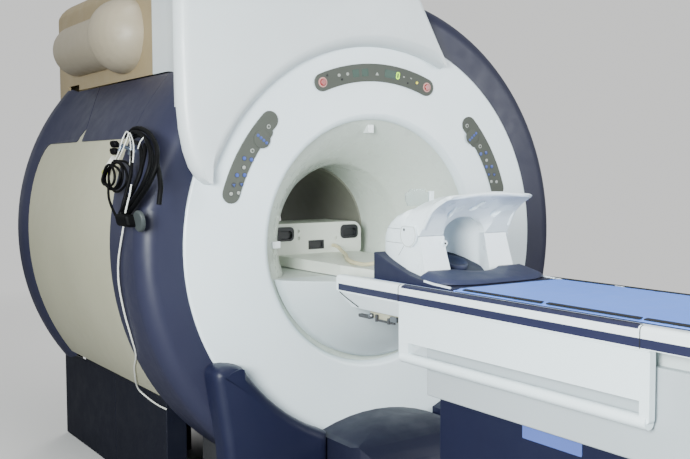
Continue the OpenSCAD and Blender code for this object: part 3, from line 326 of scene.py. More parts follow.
def set_world():
    """Soft light from all round, and a pale field behind the object."""
    world = bpy.data.worlds.new("studio")
    bpy.context.scene.world = world
    world.use_nodes = True
    tree = world.node_tree
    tree.nodes.clear()
    light = filled(tree.nodes.new("ShaderNodeBackground"), Color=(0.93, 0.97, 1.0, 1), Strength=0.5)
    field = filled(tree.nodes.new("ShaderNodeBackground"), Color=FIELD_COLOUR, Strength=1.0)
    rays = tree.nodes.new("ShaderNodeLightPath")
    mix = tree.nodes.new("ShaderNodeMixShader")
    out = tree.nodes.new("ShaderNodeOutputWorld")
    link(tree, rays.outputs["Is Camera Ray"], mix.inputs[0])
    link(tree, light.outputs[0], mix.inputs[1])
    link(tree, field.outputs[0], mix.inputs[2])
    link(tree, mix.outputs[0], out.inputs["Surface"])


def set_floor():
    """A matt floor that catches the shadow and fades into the pale field further off."""
    mesh = bpy.data.meshes.new("floor")
    half, low = 30.0, -0.001
    corners = [(-half, -half, low), (half, -half, low), (half, half, low), (-half, half, low)]
    mesh.from_pydata(corners, [], [(0, 1, 2, 3)])
    floor = new_object("floor", mesh)
    material, tree, shader = new_material("studio floor")
    filled(shader, Roughness=0.75)
    rays = tree.nodes.new("ShaderNodeLightPath")
    seen = rays.outputs["Is Camera Ray"]
    link(tree, mixed(tree, seen, (0.2, 0.2, 0.21, 1), (0.8, 0.79, 0.77, 1)), shader.inputs["Base Color"])
    far_off = tree.nodes.new("ShaderNodeVectorMath")
    far_off.operation = "LENGTH"
    link(tree, tree.nodes.new("ShaderNodeTexCoord").outputs["Object"], far_off.inputs[0])
    both = tree.nodes.new("ShaderNodeMath")
    both.operation = "MULTIPLY"
    link(tree, spread(tree, far_off.outputs["Value"], 0.0, 1.0, FADE_FROM, FADE_TO), both.inputs[0])
    link(tree, seen, both.inputs[1])
    field = filled(tree.nodes.new("ShaderNodeEmission"), Color=FIELD_COLOUR)
    blend = tree.nodes.new("ShaderNodeMixShader")
    link(tree, both.outputs[0], blend.inputs[0])
    link(tree, shader.outputs[0], blend.inputs[1])
    link(tree, field.outputs[0], blend.inputs[2])
    link(tree, blend.outputs[0], tree.nodes["Material Output"].inputs["Surface"])
    mesh.materials.append(material)


set_camera()
set_world()
set_floor()
area_light("key", (-3.3, -3.5, 1.7), (-0.5, -1.0, 1.0), 1.5, 330, (0.93, 0.99, 1.0))
area_light("fill", (3.4, -4.6, 2.2), (-0.3, -0.7, 1.0), 2.6, 150, (0.95, 0.99, 1.0))
area_light("above", (-0.5, -1.2, 5.2), (0, -0.8, 1.0), 3.0, 95, (0.98, 1.0, 1.0))
area_light("behind", (3.0, 4.5, 3.4), (0, 0, 1.2), 3.0, 130, (1.0, 0.98, 0.95))


# Finishes: each is built from noise on the piece's own coordinates, in metres

GRAIN_DEPTH = 0.0002
SOCKETS = {
    "coat": "Coat Weight", "coat_rough": "Coat Roughness", "specular": "Specular IOR Level",
    "metal": "Metallic", "clear": "Transmission Weight", "ior": "IOR",
}


def finish(name, colour, roughness, mottle=0.04, grain=0.1, fine=900.0, patch=2.2, **own):
    """A moulded or coated surface: faint patches of colour, patchy gloss and a fine grain."""
    material, tree, shader = new_material(name)
    coords = tree.nodes.new("ShaderNodeTexCoord").outputs["Object"]
    broad = noise(tree, coords, patch, 4.0)
    base = srgb(*colour)
    tone = mixed(tree, spread(tree, broad, 0, 1), scaled(base, 1 - mottle), scaled(base, 1 + mottle))
    link(tree, tone, shader.inputs["Base Color"])
    gloss = noise(tree, coords, patch * 7, 3.0)
    link(tree, spread(tree, gloss, roughness * 0.88, min(1.0, roughness * 1.14)), shader.inputs["Roughness"])
    bump = filled(tree.nodes.new("ShaderNodeBump"), Strength=grain, Distance=GRAIN_DEPTH)
    link(tree, noise(tree, coords, fine, 2.0), bump.inputs["Height"])
    link(tree, bump.outputs["Normal"], shader.inputs["Normal"])
    for word, value in own.items():
        shader.inputs[SOCKETS[word]].default_value = value
    return material


def glowing(name, colour, strength):
    material, _, shader = new_material(name)
    paint = srgb(*colour)
    filled(shader, Base_Color=paint, Roughness=0.4, Emission_Color=paint, Emission_Strength=strength)
    return material


white_paint = finish("white moulding", (234, 246, 250), 0.34, mottle=0.02, coat=0.25, coat_rough=0.12)
chin_paint = finish("chin moulding", (203, 214, 216), 0.36, mottle=0.02, coat=0.2, coat_rough=0.15)
top_paint = finish("top cover moulding", (213, 220, 221), 0.4, mottle=0.025, coat=0.15, coat_rough=0.2)
cream_paint = finish("cream moulding", (178, 175, 150), 0.45, mottle=0.04, grain=0.2, fine=500.0)
tower_paint = finish("tower moulding", (154, 137, 104), 0.5, mottle=0.04, grain=0.25, fine=500.0)
duct_paint = finish("duct moulding", (160, 149, 128), 0.45, mottle=0.05, grain=0.2, fine=500.0)
slate_paint = finish("slate moulding", (42, 43, 62), 0.42, mottle=0.05, specular=0.3, grain=0.25, fine=420.0)
navy_paint = finish("navy moulding", (24, 27, 50), 0.45, mottle=0.06, specular=0.3, grain=0.3, fine=420.0)
plinth_paint = finish("plinth moulding", (17, 19, 30), 0.5, mottle=0.06, grain=0.3, fine=420.0, specular=0.2)
dock_paint = finish("dock moulding", (26, 28, 46), 0.5, mottle=0.08, specular=0.25, grain=0.3, fine=420.0)
funnel_paint = finish("funnel gel coat", (206, 214, 204), 0.28, mottle=0.03, coat=0.3, coat_rough=0.08)
# The bore tube is a darker grey than the funnel: painted shade for the dimness deep inside the bore.
shaded_liner_paint = finish("bore tube", (128, 128, 116), 0.5, mottle=0.06, grain=0.2, fine=300.0)
panel_paint = finish("membrane grey", (84, 87, 80), 0.62, mottle=0.03, grain=0.2, fine=1500.0, specular=0.2)
bridge_paint = finish("bridge laminate", (190, 197, 190), 0.42, mottle=0.03)
carriage_paint = finish("carriage moulding", (212, 216, 205), 0.4, mottle=0.03)
socket_paint = finish("socket black", (17, 19, 22), 0.32, mottle=0.1)
steel_paint = finish("vessel paint", (108, 116, 128), 0.45, mottle=0.05, metal=0.2)
winding_paint = finish("copper in resin", (168, 104, 62), 0.35, mottle=0.12, patch=30.0, metal=0.6)
resin_paint = finish("cast resin", (190, 146, 66), 0.4, mottle=0.08, patch=12.0)
aluminium = finish("turned aluminium", (184, 187, 190), 0.32, mottle=0.05, patch=20.0, metal=1.0)
iron_paint = finish("painted iron", (62, 62, 64), 0.5, mottle=0.1, patch=10.0)
hook_paint = finish("anodised hook", (158, 172, 190), 0.3, mottle=0.05, metal=0.9)
stop_paint = finish("stop red", (152, 34, 34), 0.3, mottle=0.05, coat=0.4)
frame_paint = finish("table light grey", (202, 210, 208), 0.42, mottle=0.03)
skirt_paint = finish("skirt moulding", (180, 188, 191), 0.45, mottle=0.03, grain=0.15)
guard_paint = finish("guard moulding", (238, 250, 253), 0.36, mottle=0.02, coat=0.2)
moulding_paint = finish("side moulding", (242, 251, 253), 0.33, mottle=0.02, coat=0.2)
stripe_paint = finish("slate stripe", (38, 40, 66), 0.5, mottle=0.06, grain=0.2, fine=600.0, specular=0.25)
cradle_paint = finish("cradle laminate", (112, 142, 226), 0.4, mottle=0.04)
coil_paint = finish("coil housing", (240, 250, 254), 0.3, mottle=0.02, coat=0.3, coat_rough=0.1)
coil_base_paint = finish("coil base", (34, 36, 58), 0.55, mottle=0.06, grain=0.3, fine=600.0, specular=0.25)
caster_paint = finish("cast caster", (124, 126, 130), 0.35, mottle=0.06, metal=0.9)
tyre_rubber = finish("tyre rubber", (42, 42, 43), 0.7, mottle=0.12, grain=0.4, fine=700.0)
white_jacket = finish("white jacket", (226, 226, 216), 0.45, mottle=0.03)
black_jacket = finish("black jacket", (4, 4, 5), 0.6, mottle=0.15, patch=40.0, specular=0.12)
cream_jacket = finish("cream jacket", (208, 198, 160), 0.42, mottle=0.05, patch=30.0)
# Dark strips in this paint are painted shadow: they stand for the shade in the gaps between parts.
shadow_gap_paint = finish("shadow gap", (26, 27, 30), 0.9, mottle=0.1)
strap_weave = finish("strap webbing", (16, 17, 22), 0.8, mottle=0.25, grain=0.8, fine=1400.0, patch=60.0)
vinyl = finish("mattress vinyl", (112, 156, 255), 0.55, mottle=0.035, grain=0.5, fine=650.0, specular=0.15)
pad_vinyl = finish("pad vinyl", (50, 55, 80), 0.5, mottle=0.06, grain=0.5, fine=650.0, specular=0.3)
blue_plate_paint = finish("light blue plate", (84, 104, 172), 0.4, mottle=0.05)
window_glass = finish("lamp window", (226, 232, 232), 0.12, mottle=0.02, coat=0.6)
key_white = finish("key white", (160, 164, 155), 0.4, mottle=0.04, patch=40.0)
ring_pink = finish("ring pink", (205, 150, 140), 0.45, mottle=0.04, patch=40.0)
key_blue = finish("key blue", (62, 84, 156), 0.4, mottle=0.06, patch=40.0)
key_ring = finish("key ring", (58, 60, 58), 0.5, mottle=0.06, patch=40.0)
screen_glass = finish("screen glass", (58, 80, 70), 0.35, mottle=0.04, specular=0.2)
lit_green = glowing("lit green", (176, 236, 20), 1.3)
lit_amber = glowing("lit amber", (226, 214, 40), 0.9)
clear_sheet = finish("clear acrylic", (236, 244, 244), 0.12, mottle=0.01, grain=0.02, clear=0.88, ior=1.3)


# Leads

WHITE_LEAD_R = 0.0035
WHITE_LEAD = [
    (-1.012, -0.684, 1.176), (-1.013, -0.668, 1.140), (-1.012, -0.640, 1.090), (-1.011, -0.612, 1.030),
    (-1.008, -0.600, 0.960), (-0.998, -0.592, 0.900), (-0.978, -0.580, 0.820), (-0.952, -0.566, 0.740),
    (-0.917, -0.520, 0.660), (-0.886, -0.420, 0.594), (-0.850, -0.330, 0.530), (-0.822, -0.268, 0.486),
    (-0.798, -0.235, 0.452), (-0.778, -0.240, 0.430), (-0.766, -0.275, 0.415), (-0.760, -0.320, 0.407),
    (-0.757, -0.365, 0.404), (-0.755, -0.412, 0.404),
]
COIL_LEAD_R = 0.008
COIL_LEAD = [
    (0.080, -0.3473, 1.016), (0.080, -0.357, 1.016), (0.080, -0.367, 1.016), (0.076, -0.402, 1.009),
    (0.064, -0.440, 1.001), (0.046, -0.485, 0.9955), (0.020, -0.540, 0.9937), (-0.018, -0.605, 0.9937),
    (-0.058, -0.670, 0.9937), (-0.096, -0.735, 0.9937), (-0.128, -0.800, 0.9937), (-0.150, -0.860, 0.9935),
    (-0.164, -0.920, 0.9935), (-0.173, -0.980, 0.996), (-0.176, -1.026, 1.003), (-0.173, -1.063, 1.011),
    (-0.170, -1.087, 1.016), (-0.170, -1.103, 1.016), (-0.170, -1.1197, 1.016),
]


def lead(name, route, radius, per, body, material):
    """A round lead along a smooth line through its route."""
    line = smooth_line(route, per)
    curve = bpy.data.curves.new(name, "CURVE")
    curve.dimensions = "3D"
    curve.bevel_depth = radius
    curve.bevel_resolution = 3
    curve.use_fill_caps = True
    spline = curve.splines.new("POLY")
    spline.points.add(len(line) - 1)
    for point, at in zip(spline.points, line):
        point.co = (*at, 1)
    spline.use_smooth = True
    curve.materials.append(material)
    piece = new_object(name, curve)
    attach(piece, body)
    return piece, length_of(line)


white, white_length = lead(
    "white_lead_jacket", WHITE_LEAD, WHITE_LEAD_R, 3, "magnet", white_jacket
)
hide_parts("white_lead")
coil_cable, coil_length = lead(
    "coil_lead_jacket", COIL_LEAD, COIL_LEAD_R, 2, "carriage_unit", cream_jacket
)
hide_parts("coil_lead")


# Covers and machined parts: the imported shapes, with soft edges and their finish


def dressed(node, material, slot, bevel):
    """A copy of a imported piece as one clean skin, with small round edges."""
    cad = NODES[node]
    body = cad["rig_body"] if "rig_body" in cad else cad.parent.name
    bm = bmesh.new()
    bm.from_mesh(cad.data)
    bmesh.ops.remove_doubles(bm, verts=bm.verts, dist=2e-5)
    bmesh.ops.dissolve_degenerate(bm, dist=1e-6, edges=bm.edges)
    bmesh.ops.dissolve_limit(bm, angle_limit=math.radians(0.5), verts=bm.verts, edges=bm.edges)
    piece = new_piece(node + "_skin", *taken(bm), body, material, slot, 38)
    if bevel:
        bevelled(piece, bevel)
    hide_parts(node)


COVERS = (
    ("front_cover", white_paint, "white_cover", 0.002),
    ("bore_funnel", funnel_paint, "bore_cover", 0.0),
    ("chin_cover", chin_paint, "white_cover", 0.002),
    ("front_ring_left front_ring_right rear_ring_left rear_ring_right", slate_paint, "slate_cover", 0.0),
    ("side_panel_left side_panel_right", cream_paint, "cream_cover", 0.0015),
    ("front_top_cover", top_paint, "white_cover", 0.0),
    ("tower_cover", tower_paint, "cream_cover", 0.0),
    ("duct_cover", duct_paint, "cream_cover", 0.0),
    ("rear_cover", white_paint, "white_cover", 0.002),
    ("plinth", plinth_paint, "navy_cover", 0.004),
    ("wing_left wing_right", navy_paint, "navy_cover", 0.0),
    ("dock_cover", dock_paint, "slate_cover", 0.0),
    ("display_panel keypad_left keypad_right", panel_paint, "panel_grey", 0.0015),
    ("light_windows", window_glass, "lamp_window", 0.0015),
    ("bridge", bridge_paint, "bore_cover", 0.0015),
    ("rear_pedestal", navy_paint, "navy_cover", 0.003),
    ("lead_hook", hook_paint, "hook_metal", 0.0008),
    ("stop_button_left stop_button_right", stop_paint, "stop_red", 0.0008),
    ("bore_liner", shaded_liner_paint, "bore_liner", 0.0),
    ("carriage", carriage_paint, "white_cover", 0.002),
    ("coil_sockets", socket_paint, "socket_black", 0.001),
    ("table_base", navy_paint, "navy_cover", 0.006),
    ("table_frame", frame_paint, "table_light", 0.002),
    ("table_nose", moulding_paint, "white_cover", 0.004),
    ("side_mouldings", moulding_paint, "white_cover", 0.0),
    ("table_skirt", skirt_paint, "white_cover", 0.004),
    ("guard_left guard_right", guard_paint, "white_cover", 0.003),
    ("cradle", cradle_paint, "cradle_plastic", 0.001),
    ("coil_base", coil_base_paint, "slate_cover", 0.006),
    ("coil_helmet", coil_paint, "coil_white", 0.003),
    ("coil_arch", coil_paint, "coil_white", 0.0015),
    ("coil_mirror", clear_sheet, "mirror_clear", 0.0),
    ("vacuum_vessel", steel_paint, "vessel_steel", 0.0),
    ("main_coils", winding_paint, "winding", 0.0),
    ("gradient_coil", resin_paint, "coil_resin", 0.0),
    ("body_coil", winding_paint, "winding", 0.0),
    ("cold_head", aluminium, "cold_metal", 0.0),
    ("magnet_feet", iron_paint, "foot_iron", 0.002),
)
for node_names, its_finish, its_slot, its_bevel in COVERS:
    for node_name in node_names.split():
        dressed(node_name, its_finish, its_slot, its_bevel)
for i in range(1, 5):
    dressed(f"caster_fork_{i}", caster_paint, "caster_metal", 0.001)
    dressed(f"caster_wheel_{i}", tyre_rubber, "caster_rubber", 0.004)


# Repeats


def instancer(name):
    """A node tree that puts a shape on every vertex, turned by the vertex's `turn`, as real faces."""
    tree = bpy.data.node_groups.new(name, "GeometryNodeTree")
    sockets = (
        ("Points", "Geometry", "INPUT"), ("Shape", "Object", "INPUT"), ("Finish", "Material", "INPUT"),
        ("Pieces", "Geometry", "OUTPUT"),
    )
    for label, kind, way in sockets:
        tree.interface.new_socket(name=label, in_out=way, socket_type="NodeSocket" + kind)
    start = tree.nodes.new("NodeGroupInput")
    end = tree.nodes.new("NodeGroupOutput")
    shape = tree.nodes.new("GeometryNodeObjectInfo")
    turn = tree.nodes.new("GeometryNodeInputNamedAttribute")
    turn.data_type = "FLOAT_VECTOR"
    turn.inputs["Name"].default_value = "turn"
    spots = tree.nodes.new("GeometryNodeInstanceOnPoints")
    real = tree.nodes.new("GeometryNodeRealizeInstances")
    paint = tree.nodes.new("GeometryNodeSetMaterial")
    link(tree, start.outputs["Shape"], shape.inputs["Object"])
    link(tree, start.outputs["Points"], spots.inputs["Points"])
    link(tree, shape.outputs["Geometry"], spots.inputs["Instance"])
    link(tree, turn.outputs[0], spots.inputs["Rotation"])
    link(tree, spots.outputs["Instances"], real.inputs["Geometry"])
    link(tree, real.outputs["Geometry"], paint.inputs["Geometry"])
    link(tree, start.outputs["Finish"], paint.inputs["Material"])
    link(tree, paint.outputs["Geometry"], end.inputs["Pieces"])
    return tree


REPEAT = instancer("repeat on points")


def repeated(name, draw, spots, body, material):
    """One piece made of copies of the shape that draw(bm) draws, at (place, turn) spots."""
    bm = bmesh.new()
    draw(bm)
    bmesh.ops.recalc_face_normals(bm, faces=bm.faces)
    mesh = bpy.data.meshes.new(name + "_shape")
    bm.to_mesh(mesh)
    bm.free()
    shape = new_object(name + "_shape", mesh)
    points = bpy.data.meshes.new(name + "_points")
    points.from_pydata([tuple(place) for place, turn in spots], [], [])
    turns = points.attributes.new("turn", "FLOAT_VECTOR", "POINT")
    for item, (place, turn) in zip(turns.data, spots):
        item.vector = turn
    holder = new_object(name + "_points", points)
    modifier = holder.modifiers.new("repeat", "NODES")
    modifier.node_group = REPEAT
    ids = {item.name: item.identifier for item in REPEAT.interface.items_tree}
    modifier[ids["Shape"]] = shape
    modifier[ids["Finish"]] = material
    graph = bpy.context.evaluated_depsgraph_get()
    made = bpy.data.meshes.new_from_object(holder.evaluated_get(graph))
    made.name = name
    made.materials.clear()
    made.materials.append(material)
    for made_from in (holder, shape):
        bpy.data.objects.remove(made_from)
    piece = new_object(name, made)
    shade(piece, 35)
    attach(piece, body)
    return piece


def raised(outline, height, crown):
    """A drawer of a small key: an outline in X and Z that stands towards -Y, with its edge drawn in."""
    def draw(bm):
        steps = ((1.0, 0.0004), (1.0, -height), (0.86, -height - crown))
        lofted(bm, [[Vector((u * share, y, v * share)) for u, v in outline] for share, y in steps])
    return draw


# Display and keypads on the face

DISPLAY_LOW, DISPLAY_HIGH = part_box("display_panel")
DISPLAY_Y = DISPLAY_LOW.y
DISPLAY_MARGIN = 0.035
DISPLAY_R = DISPLAY_HIGH.z - AXIS_Z - DISPLAY_MARGIN
KEYPAD_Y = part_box("keypad_right")[0].y
KEYPAD_R = 0.666
KEYPAD_TURN = 1.2
DIAL_ANGLE = 50.9
WELL_DEPTH = 0.0006


def on_panel(y, radius, from_top, side=1):
    """A spot on a face panel at an angle from the top, to the left if side is 1; it faces the patient end."""
    a = math.radians(from_top)
    place = Vector((-side * radius * math.sin(a), y, AXIS_Z + radius * math.cos(a)))
    return place, (0, side * -a, 0)


def shown(name, outline, spots, material, height=0.0012, crown=0.0004):
    return repeated(name, raised(outline, height, crown), spots, "magnet", material)


def display(radial, from_top):
    return on_panel(DISPLAY_Y, DISPLAY_R + radial, from_top)


screens = [display(0, 8.5), display(0, 4.7)]
shown("display_screens", rounded(0.030, 0.030, 0.002), screens, screen_glass, 0.0008, 0.0)
shown("display_window", rounded(0.070, 0.032, 0.003), [display(0, -6.4)], screen_glass, 0.0008, 0.0)
shown("stop_button_rings", circle(0.0195, 28), [display(0, 22), display(0, -22)], ring_pink, 0.0012, 0.0006)
shown("display_keys", circle(0.0065, 16), [display(0.005, 15.2), display(0.002, 11.8)], key_white)
dots = [display(0.018, 19.6), display(-0.014, 14.4), display(-0.017, -13.6)]
shown("display_dots", circle(0.0042, 14), dots, socket_paint)
arrow = [(-0.008, -0.005), (0.008, -0.005), (0.0, 0.008)]
shown("display_arrow", arrow, [display(-0.006, -0.2)], key_white, 0.0008, 0.0)
marks = [display(0.002, -11.5), display(0.006, -14.6)]
shown("display_marks", rounded(0.008, 0.005, 0.001), marks, key_white, 0.0008, 0.0)
shown("display_lamp", circle(0.005, 16), [display(-0.002, -17.4)], lit_amber, 0.002, 0.001)


def figure_zero(bm):
    """The lit figure as a closed rounded ring."""
    outer = rounded(0.0175, 0.0290, 0.0075, 4)
    inner = [(u * 0.46, v * 0.70) for u, v in outer]
    for k in range(len(outer)):
        n = (k + 1) % len(outer)
        plate(bm, [outer[k], outer[n], inner[n], inner[k]], 0.0, 0.0008, lambda u, v, d: Vector((u, -d, v)))


zero_place, zero_turn = display(0, -8.9)
zero_spots = [(zero_place + Vector((0, -0.0009, 0)), zero_turn)]
repeated("display_figure", figure_zero, zero_spots, "magnet", lit_green)


def keypad(name, side):
    """One keypad's keys in their wells, in two rows and on the middle line, and a dial with four keys."""
    def at(keys, lift=WELL_DEPTH):
        return [on_panel(KEYPAD_Y - lift, KEYPAD_R + r, a + KEYPAD_TURN * side, side) for r, a in keys]

    pairs = [(0.014, a) for a in (59.5, 65.3, 68.5, 71.4)] + [(-0.014, a) for a in (58.6, 64.2, 67.4, 70.4)]
    ringed = [(0.0, 46.2), (0.0, 56.0)]
    lone = [(0.0, 62.1)]
    arrows = [(r, a) for r, a in pairs if 66 < a < 70]
    whites = [(r, a) for r, a in pairs if a > 70] + lone
    dial_keys = [(r, DIAL_ANGLE) for r in (0.014, -0.001, -0.016, -0.031)]
    shown(name + "_wells", circle(0.0098, 20), at(pairs + ringed + lone, 0.0), key_ring, WELL_DEPTH, 0.0)
    shown(name + "_dial", circle(0.034, 40), at([(-0.009, DIAL_ANGLE)], 0.0), panel_paint, 0.003, 0.0012)
    shown(name + "_dial_keys", circle(0.0058, 16), at(dial_keys, 0.0042), key_blue)
    shown(name + "_blue_keys", circle(0.0072, 18), at([(r, a) for r, a in pairs if a < 66]), key_blue)
    shown(name + "_arrows", [(-0.006, -0.005), (0.006, -0.005), (0.0, 0.006)], at(arrows), key_blue)
    shown(name + "_white_keys", circle(0.0070, 18), at(whites), key_white)
    shown(name + "_rings", circle(0.0085, 22), at(ringed), key_white)
    shown(name + "_ring_middles", circle(0.0048, 16), at(ringed, 0.0022), panel_paint, 0.0005, 0.0)


keypad("keypad_left", 1)
keypad("keypad_right", -1)


# Table: the mouldings' stripe, dark strips painted as shadow at their joints, slate strips painted as shade
# along their shoulders with painted shadow gaps, a painted shadow line along each side of the cradle, the
# straps, and the plate on the base

TABLE_LOW, TABLE_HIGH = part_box("side_mouldings")
TABLE_HALF = TABLE_HIGH.x
MOULDING_X = TABLE_HALF - 0.004
FOOT_R = 0.060
STRIPE_FRONT = -0.985
STRIPE_LOW, STRIPE_HIGH = 0.9105, 0.9345
STRIPE_OUT, STRIPE_EDGE = 0.0012, 0.0006
STRIPE_SECTION = [
    (STRIPE_EDGE, STRIPE_LOW), (-STRIPE_OUT * 0.6, STRIPE_LOW), (-STRIPE_OUT, STRIPE_LOW + STRIPE_EDGE),
    (-STRIPE_OUT, STRIPE_HIGH - STRIPE_EDGE), (-STRIPE_OUT * 0.6, STRIPE_HIGH), (STRIPE_EDGE, STRIPE_HIGH),
]
JOINTS = (-1.362, -2.388)
JOINT_HALF = 0.0011
JOINT_SHAPE = (
    (0, 0.9085), (0.0056, 0.9085), (0.0056, 0.951), (0.0046, 0.9578), (0.001, 0.9640), (-0.004, 0.9664),
    (-0.0095, 0.9674), (-0.0095, 0.9600), (0, 0.95),
)
# The shoulder strip is slate paint along the top of each side moulding as painted shade for the shaded groove
# between cradle and moulding. The gap beside it is a painted shadow gap.
SHOULDER = (-1.376, -2.380)
SHOULDER_SHADE_STRIP = (
    (0.0040, 0.9580), (0.0008, 0.9636), (-0.0040, 0.9661), (-0.0110, 0.9676), (-0.0110, 0.9640),
    (-0.0010, 0.9560),
)
SHOULDER_SHADOW_GAP = ((-0.0112, 0.9672), (-0.0114, 0.9690), (-0.0150, 0.9690), (-0.0150, 0.9660))


def foot_line(half, front_y, foot_y, corner):
    """The table's edge in plan, from its head end on the left round the foot to the right."""
    half_line = [Vector((-half, y, 0)) for y in (front_y, JOINTS[0], JOINTS[1], foot_y + corner)]
    for a in range(15, 90, 15):
        turn = math.radians(a)
        x, y = -half + corner * (1 - math.cos(turn)), foot_y + corner * (1 - math.sin(turn))
        half_line.append(Vector((x, y, 0)))
    half_line.append(Vector((-half + corner, foot_y, 0)))
    return half_line + [Vector((-p.x, p.y, p.z)) for p in half_line[::-1]]


table_edge = foot_line(TABLE_HALF, STRIPE_FRONT, TABLE_LOW.y, FOOT_R)
swept_piece("table_stripe", table_edge, STRIPE_SECTION, "table_top", stripe_paint, "slate_cover", 50)
# Dark strips painted as the shadow in the joints between moulding segments.
for k, joint_y in enumerate(JOINTS):
    for side, hand in HALVES:
        rings = profiled(side, MOULDING_X, JOINT_SHAPE, (joint_y - JOINT_HALF, joint_y + JOINT_HALF))
        lofted_piece(f"moulding_joint_{k}_{hand}", rings, "table_top", shadow_gap_paint, "slate_cover", 50)
for side, hand in HALVES:
    # Painted shade along the moulding's shoulder: a slate band and a dark shadow gap.
    strip = profiled(side, MOULDING_X, SHOULDER_SHADE_STRIP, SHOULDER)
    lofted_piece(f"shoulder_strip_{hand}", strip, "table_top", stripe_paint, "slate_cover", 50)
    gap = profiled(side, MOULDING_X, SHOULDER_SHADOW_GAP, SHOULDER)
    lofted_piece(f"shoulder_gap_{hand}", gap, "table_top", shadow_gap_paint, "slate_cover", 50)

CRADLE_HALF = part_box("cradle")[1].x
CRADLE_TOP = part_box("cradle")[1].z
GROOVE = [(-1.590, 0), (-1.590, 0.0022), (-3.200, 0.0022), (-3.200, 0)]
STRAP_X = 0.2335
STRAP_SHAPE = ((-0.0070, 0.9740), (-0.0066, 0.9752), (0.0066, 0.9738), (0.0078, 0.9700), (0.0060, 0.9700))
STRAPS = {
    -1: ((-1.628, -1.978), (-1.999, -2.336), (-2.350, -2.760), (-2.785, -3.170)),
    1: ((-1.600, -1.829), (-1.878, -2.240), (-2.262, -2.690), (-2.715, -3.170)),
}
for side, hand in HALVES:
    bm = bmesh.new()
    for run in STRAPS[side]:
        lofted(bm, profiled(side, STRAP_X, STRAP_SHAPE, run))
    from_bmesh(f"edge_straps_{hand}", bm, "cradle_unit", strap_weave, "mattress_vinyl")
    # A dark strip painted along the cradle as the shadow in the gap beside it.
    plate_piece(
        f"cradle_groove_{hand}", GROOVE, side * (CRADLE_HALF - 0.0075), side * (CRADLE_HALF - 0.0055),
        lambda u, v, d: Vector((d, u, CRADLE_TOP - 0.0004 + v)), "cradle_unit", shadow_gap_paint, "cradle_plastic",
    )

BASE_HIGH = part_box("table_base")[1]
BASE_PLATE_Y = -2.030
BASE_PLATE_DROP = 0.023
shape = rounded(0.236, 0.040, 0.004)
paint = blue_plate_paint
for side, hand in HALVES:
    at = sideways(BASE_HIGH.x - 0.0003, BASE_PLATE_Y, BASE_HIGH.z - BASE_PLATE_DROP, side)
    plate_piece(f"base_plate_{hand}", shape, 0.0, 0.0015, at, "table_chassis", paint, "cradle_plastic")

# Fittings under the nose: a thin lead along its edge, a bracket, a catch with a ball, and a linkage

NOSE_LEAD_R = 0.0019
NOSE_EDGE = (
    (-0.990, 0.904), (-1.006, 0.886), (-1.030, 0.868), (-1.056, 0.850), (-1.084, 0.833), (-1.110, 0.831),
    (-1.140, 0.829), (-1.170, 0.828),
)
nose_skin = surface_of("table_nose")
edge_run = []
for its_y, its_z in NOSE_EDGE:
    hit = nose_skin.ray_cast(Vector((-0.5, its_y, its_z)), Vector((1, 0, 0)))[0]
    if hit is not None and hit.x < 0:
        edge_run.append(hit + Vector((-0.0016, 0, 0)))
nose_lead, nose_length = lead("nose_lead", edge_run, NOSE_LEAD_R, 3, "table_top", black_jacket)
bracket = plate_piece(
    "nose_bracket", rounded(0.178, 0.024, 0.004), 0.0, 0.012, sideways(-0.236, -1.190, 0.8285), "table_top",
    cream_paint, "table_light",
)
bevelled(bracket, 0.001)
bm = bmesh.new()
plate(bm, rounded(0.040, 0.018, 0.003), 0.0, 0.010, sideways(-0.2455, -1.256, 0.8280))
ball_at = Matrix.Translation((-0.243, -1.118, 0.8240))
bmesh.ops.create_uvsphere(bm, u_segments=16, v_segments=10, radius=0.011, matrix=ball_at)
from_bmesh("nose_catch", bm, "table_top", caster_paint, "caster_metal")
LINKAGE = (
    (rounded(0.075, 0.013, 0.005), 0.013, (-0.246, -1.075, 0.8175)),
    (rounded(0.110, 0.007, 0.003), 0.006, (-0.243, -1.205, 0.8125)),
    (rounded(0.012, 0.026, 0.003), 0.008, (-0.245, -1.150, 0.8195)),
    (rounded(0.012, 0.022, 0.003), 0.008, (-0.245, -1.225, 0.8175)),
)
bm = bmesh.new()
for outline, depth, spot in LINKAGE:
    plate(bm, outline, 0.0, depth, sideways(*spot))
from_bmesh("nose_linkage", bm, "table_top", iron_paint, "caster_metal")


# Soft goods

MAT_LOW, MAT_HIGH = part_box("mattress")
CREASES = ((-2.06, 0.22), (-2.62, -0.10))


